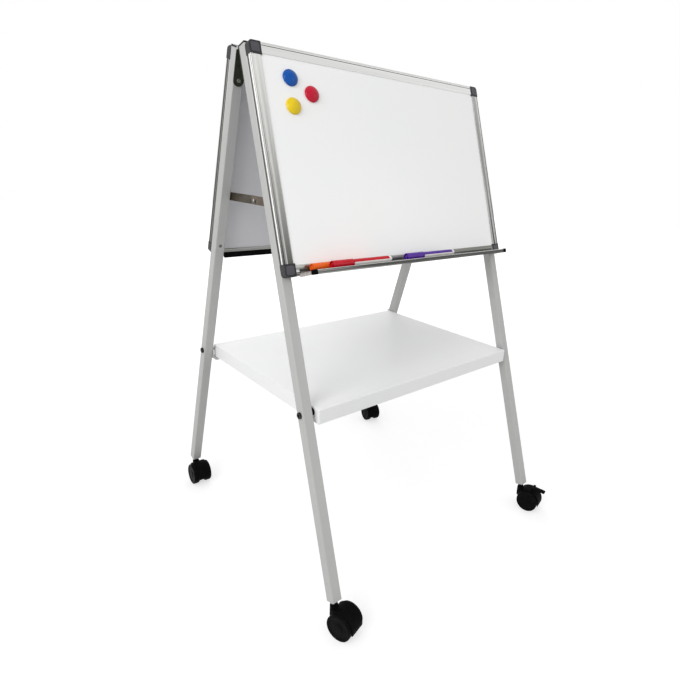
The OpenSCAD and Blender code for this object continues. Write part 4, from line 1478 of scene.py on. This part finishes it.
@dataclass
class Shelf:
    """The lift-up shelf between the legs, its spacers and the ledges under its rear edge."""

    width: float = 547.0
    thick: float = 28.0
    rise: float = 9.0
    nose: float = 18.5
    reach: float = 402.0
    corner: float = 3.0
    spacer_r: float = 7.0
    slip: float = 0.3
    ledge_t: float = 2.0
    ledge_w: float = 17.0
    ledge_len: float = 34.0

    def build(self) -> None:
        """Builds the board, the spacers and the ledges."""
        ahead, below = STAND.level(STAND.leg_mid, STAND.shelf_down)
        axis = hinge_axis() / MM
        front = Vector((0, axis.y - ahead, axis.z - below))
        rear = Vector((0, axis.y + ahead, axis.z - below))
        depth = self.nose + self.reach
        outline = rectangle(self.width, depth, self.corner, (0, depth / 2 - self.nose), 5)
        slab = soften(prism(outline, self.rise - self.thick, self.rise), 1.2, 3)
        board = moved(slab, Matrix.Translation(front))
        Bench.piece("shelf_board_laminated", board, IN_PLACE, PAINTS.shelf, "shelf_board")
        rings = []
        for hand in Hand:
            low, high = self.width / 2 + self.slip, STAND.inner_x
            ring = [(3.1, low), (self.spacer_r - 0.4, low), (self.spacer_r, low + 0.4)]
            ring += [(self.spacer_r, high - 0.4), (self.spacer_r - 0.4, high), (3.1, high)]
            rings.append(moved(lathe(ring, 40), along(front, (hand.value, 0, 0))))
        Bench.piece("shelf_spacer_rings", merged(rings), IN_PLACE, PAINTS.plastic, "shelf_spacers")
        ledges = merged([self.ledge(hand, rear) for hand in Hand])
        Bench.piece("ledge_brackets_bent", ledges, IN_PLACE, PAINTS.leg, "ledge_brackets")

    def ledge(self, hand: Hand, pivot: Vector) -> bmesh.types.BMesh:
        """Makes a bent bracket.

        Args:
            hand: Which end.
            pivot: Where its bolt is.

        Returns:
            The bracket's upright and its ledge.
        """
        low = pivot.z + self.rise - self.thick
        back = pivot.y + STAND.leg / 2
        h, x = hand.value, STAND.inner_x
        upright_x = tuple(sorted((h * x, h * (x - self.ledge_t))))
        ledge_x = tuple(sorted((h * x, h * (x - self.ledge_w))))
        tall = (low - self.ledge_t, pivot.z + STAND.leg / 2)
        upright = block(upright_x, (back - STAND.leg, back), tall, 0.4)
        ledge = block(ledge_x, (back - self.ledge_len, back), (low - self.ledge_t, low), 0.4)
        return merged([upright, ledge])


@dataclass
class Caster:
    """A twin-wheel caster: hood with its boss, axle and two wheels, and a brake pedal on some."""

    side: Side
    hand: Hand
    heading: float
    braked: bool
    wheel_r: float = 25.0
    wheel_w: float = 13.5
    gap: float = 16.0
    trail: float = 24.0
    hood_r: float = 28.0
    hood_t: float = 2.2
    hood_w: float = 31.0
    hood_span: Pair = (-12.0, 140.0)
    boss_r: float = 7.7
    boss_top: float = 48.0
    boss_low: float = 26.0
    pedal_angle: float = 75.0
    pedal_tilt: float = 6.0
    pedal_len: float = 28.0
    pedal_w: float = 14.0
    pedal_t: float = 2.4

    @property
    def title(self) -> str:
        """The caster's corner as the nodes write it."""
        return f"{self.side.word}_{self.hand.word}"

    def place(self) -> Matrix:
        """From the caster, its stem at the origin, to the easel in metres."""
        ahead, _ = STAND.level(STAND.leg_mid, STAND.leg_end)
        y = hinge_axis().y - self.side.value * ahead * MM
        stem = Matrix.Translation((self.hand.value * STAND.leg_x * MM, y, 0))
        return stem @ Matrix.Rotation(math.radians(self.heading), 4, "Z")

    def build(self) -> None:
        """Builds the caster's pieces."""
        at = self.place()
        Bench.piece(f"caster_{self.title}_hood", self.hood(), at, PAINTS.plastic, f"caster_hood_{self.title}")
        Bench.dress(f"caster_axle_{self.title}", PAINTS.steel)
        for which, way in (("outer", self.hand.value), ("inner", -self.hand.value)):
            wheel = moved(lathe(self.wheel(), 96), self.wheel_place(way))
            node = f"caster_wheel_{self.title}_{which}"
            Bench.piece(f"{node}_tyre", wheel, at, PAINTS.wheel, node)
        if self.braked:
            node = f"brake_pedal_{self.title}"
            Bench.piece(f"{node}_lever", self.pedal(), at, PAINTS.plastic, node)

    def wheel_place(self, way: int) -> Matrix:
        """Where a wheel's profile stands, way being its side of the hood."""
        return along((way * self.gap / 2, -self.trail, self.wheel_r), (way, 0, 0))

    def wheel(self) -> list[Pair]:
        """Section of a wheel, from its inner face at 0 to its outer face."""
        r, w = self.wheel_r, self.wheel_w
        inner = [(0, 0.5), (6.5, 0.5), (7.0, 0.1), (8.5, 0), (r - 2, 0), (r - 0.6, 0.6), (r, 2)]
        tread = [(r, 6.6), (r - 0.35, 6.9), (r - 0.35, 7.5), (r, 7.8), (r, w - 2.2), (r - 0.5, w - 0.8)]
        disc = [(r - 1.6, w - 0.1), (r - 2.6, w), (r - 4.4, w), (r - 5.0, w - 0.3), (r - 5.6, w - 1.1)]
        hub = [(10.5, w - 1.1), (9.6, w - 0.8), (8.9, w - 0.2), (8.0, w), (0, w)]
        return inner + tread + disc + hub

    def hood(self) -> bmesh.types.BMesh:
        """Makes the hood band, the web between the wheels, the boss, and the pedal's ears."""
        outer, inner, half = self.hood_r, self.hood_r - self.hood_t, self.hood_w / 2
        section = fillet([(-half, inner, 0.4), (half, inner, 0.4), (half, outer, 1.1), (-half, outer, 1.1)])
        axle = Matrix.Translation((0, -self.trail, self.wheel_r))
        band = soften(swept(section, *self.hood_span, 56), 0.5, angle=60)
        web_r, web = self.wheel_r - 4, self.boss_r
        ring = [(0, -web), (web_r - 1, -web), (web_r, -web + 1), (web_r, web - 1), (web_r - 1, web), (0, web)]
        disc = moved(lathe(ring, 64), along((0, 0, 0), (1, 0, 0)))
        wedge = [(-web, web_r - 1), (web, web_r - 1), (web, inner + 0.5), (-web, inner + 0.5)]
        fill = swept(wedge, *self.hood_span, 40)
        parts = [moved(bm, axle) for bm in (band, disc, fill)]
        top, low = self.boss_top, self.boss_low
        boss = [(0, low), (self.boss_r, low), (self.boss_r, top - 0.8), (self.boss_r - 0.8, top), (0, top)]
        parts.append(lathe(boss, 48))
        if self.braked:
            parts += self.ears()
        return merged(parts)

    def pedal_spot(self) -> Vector:
        """The pedal's pin, in the caster's place."""
        reach, angle = self.hood_r + 5, math.radians(self.pedal_angle)
        return Vector((0, -self.trail - reach * math.cos(angle), self.wheel_r + reach * math.sin(angle)))

    def ears(self) -> list[bmesh.types.BMesh]:
        """Makes the two ears that hold the pedal's pin, and the pin."""
        thick, hub = 2.5, 3.0
        parts = []
        upright = Matrix.Rotation(math.radians(90 - self.pedal_angle), 4, "X")
        turn = Matrix.Translation(self.pedal_spot()) @ upright
        for way in (-1, 1):
            x = way * (self.pedal_w / 2 + 0.3 + thick / 2)
            bend = hub * 0.95
            outline = fillet([(-hub, -6, 0), (hub, -6, 0), (hub, hub, bend), (-hub, hub, bend)], 6)
            ear = soften(prism(outline, -thick / 2, thick / 2), 0.4)
            parts.append(moved(ear, turn @ axes((x, 0, 0), (0, 1, 0), (0, 0, 1))))
        half = self.pedal_w / 2 + 0.3 + thick / 2
        pin = [(0, -half), (1.3, -half), (1.5, -half + 0.2), (1.5, half - 0.2), (1.3, half), (0, half)]
        parts.append(moved(lathe(pin, 24), along(self.pedal_spot(), (1, 0, 0))))
        return parts

    def pedal(self) -> bmesh.types.BMesh:
        """Makes the pedal: a plate on a hub, with ribs along its free end."""
        half = self.pedal_w / 2
        hub = [(1.55, -half), (2.7, -half), (3.0, -half + 0.3), (3.0, half - 0.3), (2.7, half), (1.55, half)]
        parts = [moved(lathe(hub, 32), along(self.pedal_spot(), (1, 0, 0)))]
        wide, thick = self.pedal_w / 2 - 0.5, self.pedal_t / 2
        outline = rectangle(2 * wide, self.pedal_len, 2.2, (0, -self.pedal_len / 2))
        plate = soften(prism(outline, -thick, thick), 0.5)
        rib = block((-wide + 1, wide - 1), (-0.7, 0.7), (thick - 0.3, thick + 1.3), 0.5)
        ribs = Bench.ribs(rib, 4, 2.6, PAINTS.plastic)
        moved(ribs, Matrix.Translation((0, -self.pedal_len + 1.9, 0)))
        tilt = Matrix.Translation(self.pedal_spot()) @ Matrix.Rotation(math.radians(self.pedal_tilt), 4, "X")
        bare = Matrix.Translation((0, -2.2, 0))
        plate.transform(Matrix.Diagonal((1, (self.pedal_len - 2.2) / self.pedal_len, 1, 1)))
        parts += [moved(plate, tilt @ bare), moved(ribs, tilt)]
        return merged(parts)


@dataclass
class Marker:
    """A dry-wipe marker in the tray: a cap and a barrel with a coloured sleeve."""

    tint: str
    finish: Finish
    x: float
    off: float
    down: float = 388.9
    length: float = 140.0
    cap_len: float = 47.0
    cap_r: float = 7.3
    barrel_r: float = 6.3

    def place(self) -> Matrix:
        """From the marker, its cap's end at the origin and lying along Z, to the easel in metres."""
        lying = axes(spot(self.x, self.off, self.down) * MM, (0, 0, 1), (0, 1, 0))
        return STAND.lean(Side.FRONT) @ lying @ Matrix.Diagonal((1, 1, -1, 1))

    def build(self) -> None:
        """Builds the barrel and the cap."""
        at = self.place()
        node = f"marker_barrel_{self.tint}"
        barrel = lathe(self.barrel(), 72)
        for face in barrel.faces:
            middle = face.calc_center_median()
            sleeve = self.cap_len + 0.4 < middle.z < self.length - 7
            face.material_index = 0 if sleeve and middle.x > 0 else 1
            if middle.z < self.cap_len - 15:
                face.material_index = 2
        Bench.piece(f"{node}_body", barrel, at, self.finish, node, others=(PAINTS.marker_end, PAINTS.felt))
        node = f"marker_cap_{self.tint}"
        Bench.piece(f"{node}_moulded", lathe(self.cap(), 72), at, self.finish, node)

    def barrel(self) -> list[Pair]:
        """Section of the barrel, from its nib to its end plug."""
        r, c, n = self.barrel_r, self.cap_len, self.length
        nib = [(0, c - 28), (1.2, c - 27.8), (1.9, c - 26.5), (2.4, c - 23), (2.7, c - 22.8), (3.9, c - 14.2)]
        neck = [(5.5, c - 14), (5.9, c - 13.6), (5.9, c + 0.3), (r - 0.3, c + 0.3), (r, c + 0.7)]
        sleeve = [(r, c + 4), (r + 0.06, c + 4.02), (r + 0.06, n - 7.02), (r, n - 7)]
        end = [(r, n - 4.4), (r - 0.25, n - 4), (r - 0.7, n - 3.9), (r - 0.7, n - 0.6), (r - 1.3, n), (0, n)]
        return nib + neck + sleeve + end

    def cap(self) -> list[Pair]:
        """Section of the cap, with a ring recess round a boss in its closed end."""
        r, c = self.cap_r, self.cap_len
        boss = [(0, 0.3), (2.4, 0.3), (2.9, 0.7), (3.1, 3.6), (5.1, 3.6), (5.3, 0.8), (5.6, 0.2), (6.2, 0)]
        wall = [(r - 0.6, 0.15), (r - 0.15, 0.7), (r, 1.6), (r, c - 2.6)]
        ring = [(r - 0.25, c - 2.3), (r - 0.25, c - 1.9)]
        mouth = [(r, c - 1.6), (r, c - 0.4), (r - 0.3, c), (6.2, c), (6.0, c - 0.4), (6.0, 8), (0, 8)]
        return boss + wall + ring + mouth


@dataclass
class Magnet:
    """A domed magnet button on the front board."""

    tint: str
    finish: Finish
    x: float
    down: float
    radius: float = 14.75
    height: float = 9.0
    rim: float = 3.0
    disc_r: float = 11.0
    disc_t: float = 4.0
    steps: int = 12

    def build(self) -> None:
        """Builds the dome and the disc let into its back."""
        off = STAND.face - STAND.recess
        place = STAND.lean(Side.FRONT) @ along(spot(self.x, off, self.down) * MM, (0, -1, 0))
        cap_h = self.height - self.rim
        ball = (self.radius**2 + cap_h**2) / (2 * cap_h)
        dome = []
        for k in range(self.steps + 1):
            a = math.asin((self.radius - 0.9) / ball) * (self.steps - k) / self.steps
            dome.append((ball * math.sin(a), self.height - ball + ball * math.cos(a)))
        dome[-1] = (0, self.height)
        skirt = [(self.radius - 0.5, 0), (self.radius, 0.5), (self.radius, 2.3), (self.radius - 0.25, 2.9)]
        back = [(0, self.disc_t + 0.3), (self.disc_r + 0.1, self.disc_t + 0.3), (self.disc_r + 0.1, 0)]
        node = f"magnet_{self.tint}"
        Bench.piece(f"{node}_dome", lathe(back + skirt + dome, 96), place, self.finish, node)
        t, r = self.disc_t, self.disc_r
        disc = lathe([(0, 0), (r - 0.5, 0), (r, 0.5), (r, t), (0, t)], 64)
        Bench.piece(f"{node}_disc", disc, place, PAINTS.ferrite, node, False)


@dataclass
class Studio:
    """The plain pale room, its lamps and the camera."""

    eye: Corner = (-0.7607, -0.8775, 0.8065)
    right: Corner = (0.7421, -0.6686, 0.0492)
    up: Corner = (0.1395, 0.2258, 0.9643)
    ahead: Corner = (0.6557, 0.7086, -0.2608)
    lens: float = 27.74
    shift: Pair = (-0.067, -0.048)
    reach: Pair = (0.6, 4.0)
    glow: Pair = (0.6, 0.85)
    ambient: float = 0.7
    ground: tuple[RGB, RGB] = ((189, 189, 189), (187, 187, 187))
    floor_r: float = 9.0
    lamps: list[tuple[str, Corner, float, float]] = field(
        default_factory=lambda: [
            ("key", (-1.95, -0.75, 1.5), 1.4, 20.0),
            ("fill", (1.6, -2.2, 1.3), 1.6, 5.0),
            ("back", (1.2, 2.6, 1.8), 2.0, 14.0),
        ]
    )

    def build(self) -> None:
        """Builds the room."""
        self.floor()
        self.sky()
        self.light()
        self.camera()

    def floor(self) -> None:
        """Makes a pale floor that keeps the soft shadow."""
        bm = bmesh.new()
        bmesh.ops.create_circle(bm, cap_ends=True, segments=96, radius=self.floor_r)
        made = bpy.data.objects.new("floor", Bench.mesh_of(bm, "floor"))
        bpy.context.scene.collection.objects.link(made)
        net = Net("floor")
        place = net.where(Pattern.PLACE, (1.0, 1.0, 1.0))
        shade = net.mix(net.noise(place, 1.5), *[linear(tone) for tone in self.ground])
        net.feed(net.shader.inputs["Base Color"], shade)
        net.shader.inputs["Roughness"].default_value = 0.9
        net.shader.inputs["Specular IOR Level"].default_value = 0.05
        away = net.node("ShaderNodeVectorMath", {0: place}, operation="LENGTH").outputs["Value"]
        glow = net.node("ShaderNodeEmission", {"Strength": net.spread(away, self.reach, self.glow)})
        path = net.node("ShaderNodeLightPath").outputs
        rays = {0: path["Is Camera Ray"], 1: path["Is Glossy Ray"]}
        seen = net.node("ShaderNodeMath", rays, operation="MAXIMUM")
        lit = net.node("ShaderNodeMixShader", {0: seen.outputs[0]})
        net.tree.links.new(glow.outputs[0], lit.inputs[2])
        both = net.node("ShaderNodeAddShader", {0: net.shader.outputs[0], 1: lit.outputs[0]})
        net.tree.links.new(both.outputs[0], net.tree.nodes["Material Output"].inputs["Surface"])
        made.data.materials.append(net.material)
        made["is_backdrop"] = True

    def sky(self) -> None:
        """Makes a white room that lights at a plain level."""
        world = bpy.data.worlds.new("room")
        world.use_nodes = True
        tree = world.node_tree
        path = tree.nodes.new("ShaderNodeLightPath")
        seen, glass = tree.nodes.new("ShaderNodeMath"), tree.nodes.new("ShaderNodeMath")
        seen.operation = glass.operation = "MAXIMUM"
        tree.links.new(path.outputs["Is Camera Ray"], seen.inputs[0])
        tree.links.new(path.outputs["Is Glossy Ray"], glass.inputs[0])
        tree.links.new(path.outputs["Is Transmission Ray"], glass.inputs[1])
        tree.links.new(glass.outputs[0], seen.inputs[1])
        level = tree.nodes.new("ShaderNodeMapRange")
        level.inputs["To Min"].default_value = self.ambient
        level.inputs["To Max"].default_value = 1.0
        tree.links.new(seen.outputs[0], level.inputs["Value"])
        tree.links.new(level.outputs["Result"], tree.nodes["Background"].inputs["Strength"])
        tree.nodes["Background"].inputs["Color"].default_value = (1, 1, 1, 1)
        bpy.context.scene.world = world

    def light(self) -> None:
        """Sets the lamps, each turned to the easel's middle."""
        for name, place, size, power in self.lamps:
            lamp = bpy.data.lights.new(name, "AREA")
            lamp.shape = "DISK"
            lamp.size = size
            lamp.energy = power
            made = bpy.data.objects.new(name, lamp)
            way = Vector((0, 0, 0.5)) - Vector(place)
            made.matrix_world = Matrix.Translation(place) @ way.to_track_quat("-Z", "Y").to_matrix().to_4x4()
            bpy.context.scene.collection.objects.link(made)

    def camera(self) -> None:
        """Sets the camera at the photograph's angle."""
        lens = bpy.data.cameras.new("camera")
        lens.lens = self.lens
        lens.shift_x, lens.shift_y = self.shift
        lens.clip_start = 0.02
        made = bpy.data.objects.new("camera", lens)
        turn = Matrix((self.right, self.up, [-v for v in self.ahead])).transposed().to_4x4()
        made.matrix_world = Matrix.Translation(self.eye) @ turn
        bpy.context.scene.collection.objects.link(made)
        bpy.context.scene.camera = made


def easel() -> list[object]:
    """Lists the easel's sub-assemblies in the order in which they are built.

    Returns:
        The sub-assemblies.
    """
    parts: list[object] = []
    for side in Side:
        parts += [LegPair(side), Board(side), PenTray(side), TopHinge(side), Fasteners(side)]
    parts += [HingePins(), FoldingStay(Hand.LEFT), FoldingStay(Hand.RIGHT), Shelf()]
    parts += [
        Caster(Side.FRONT, Hand.LEFT, 17.0, False),
        Caster(Side.FRONT, Hand.RIGHT, 15.0, True),
        Caster(Side.REAR, Hand.LEFT, -2.5, False),
        Caster(Side.REAR, Hand.RIGHT, -12.0, True),
    ]
    parts += [
        Marker("orange", Paints.moulded("marker_orange", (246, 110, 30), (240, 98, 24)), -251.0, 47.0),
        Marker("red", Paints.moulded("marker_red", (205, 18, 40), (192, 14, 34)), -219.0, 61.9),
        Marker("purple", Paints.moulded("marker_purple", (88, 44, 158), (78, 38, 146)), -37.0, 61.9),
        Magnet("blue", Paints.moulded("magnet_blue", (0, 84, 172), (0, 76, 160)), -227.5, 55.0),
        Magnet("red", Paints.moulded("magnet_red", (200, 20, 52), (188, 16, 46)), -186.5, 78.5),
        Magnet("yellow", Paints.moulded("magnet_yellow", (236, 206, 30), (228, 196, 26)), -229.5, 104.5),
    ]
    return parts


def corners() -> list[list[float]]:
    """The whole object's lowest and highest corners."""
    return [[float(v) for v in corner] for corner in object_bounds()]


def main() -> None:
    """Builds the easel and its room."""
    logging.basicConfig(level=logging.INFO, format="%(name)s %(message)s")
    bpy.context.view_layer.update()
    for part in easel():
        log.info("building %s", type(part).__name__)
        part.build()
    Studio().build()
    bpy.context.scene.view_settings.view_transform = "Standard"


if __name__ == "__main__":
    main()
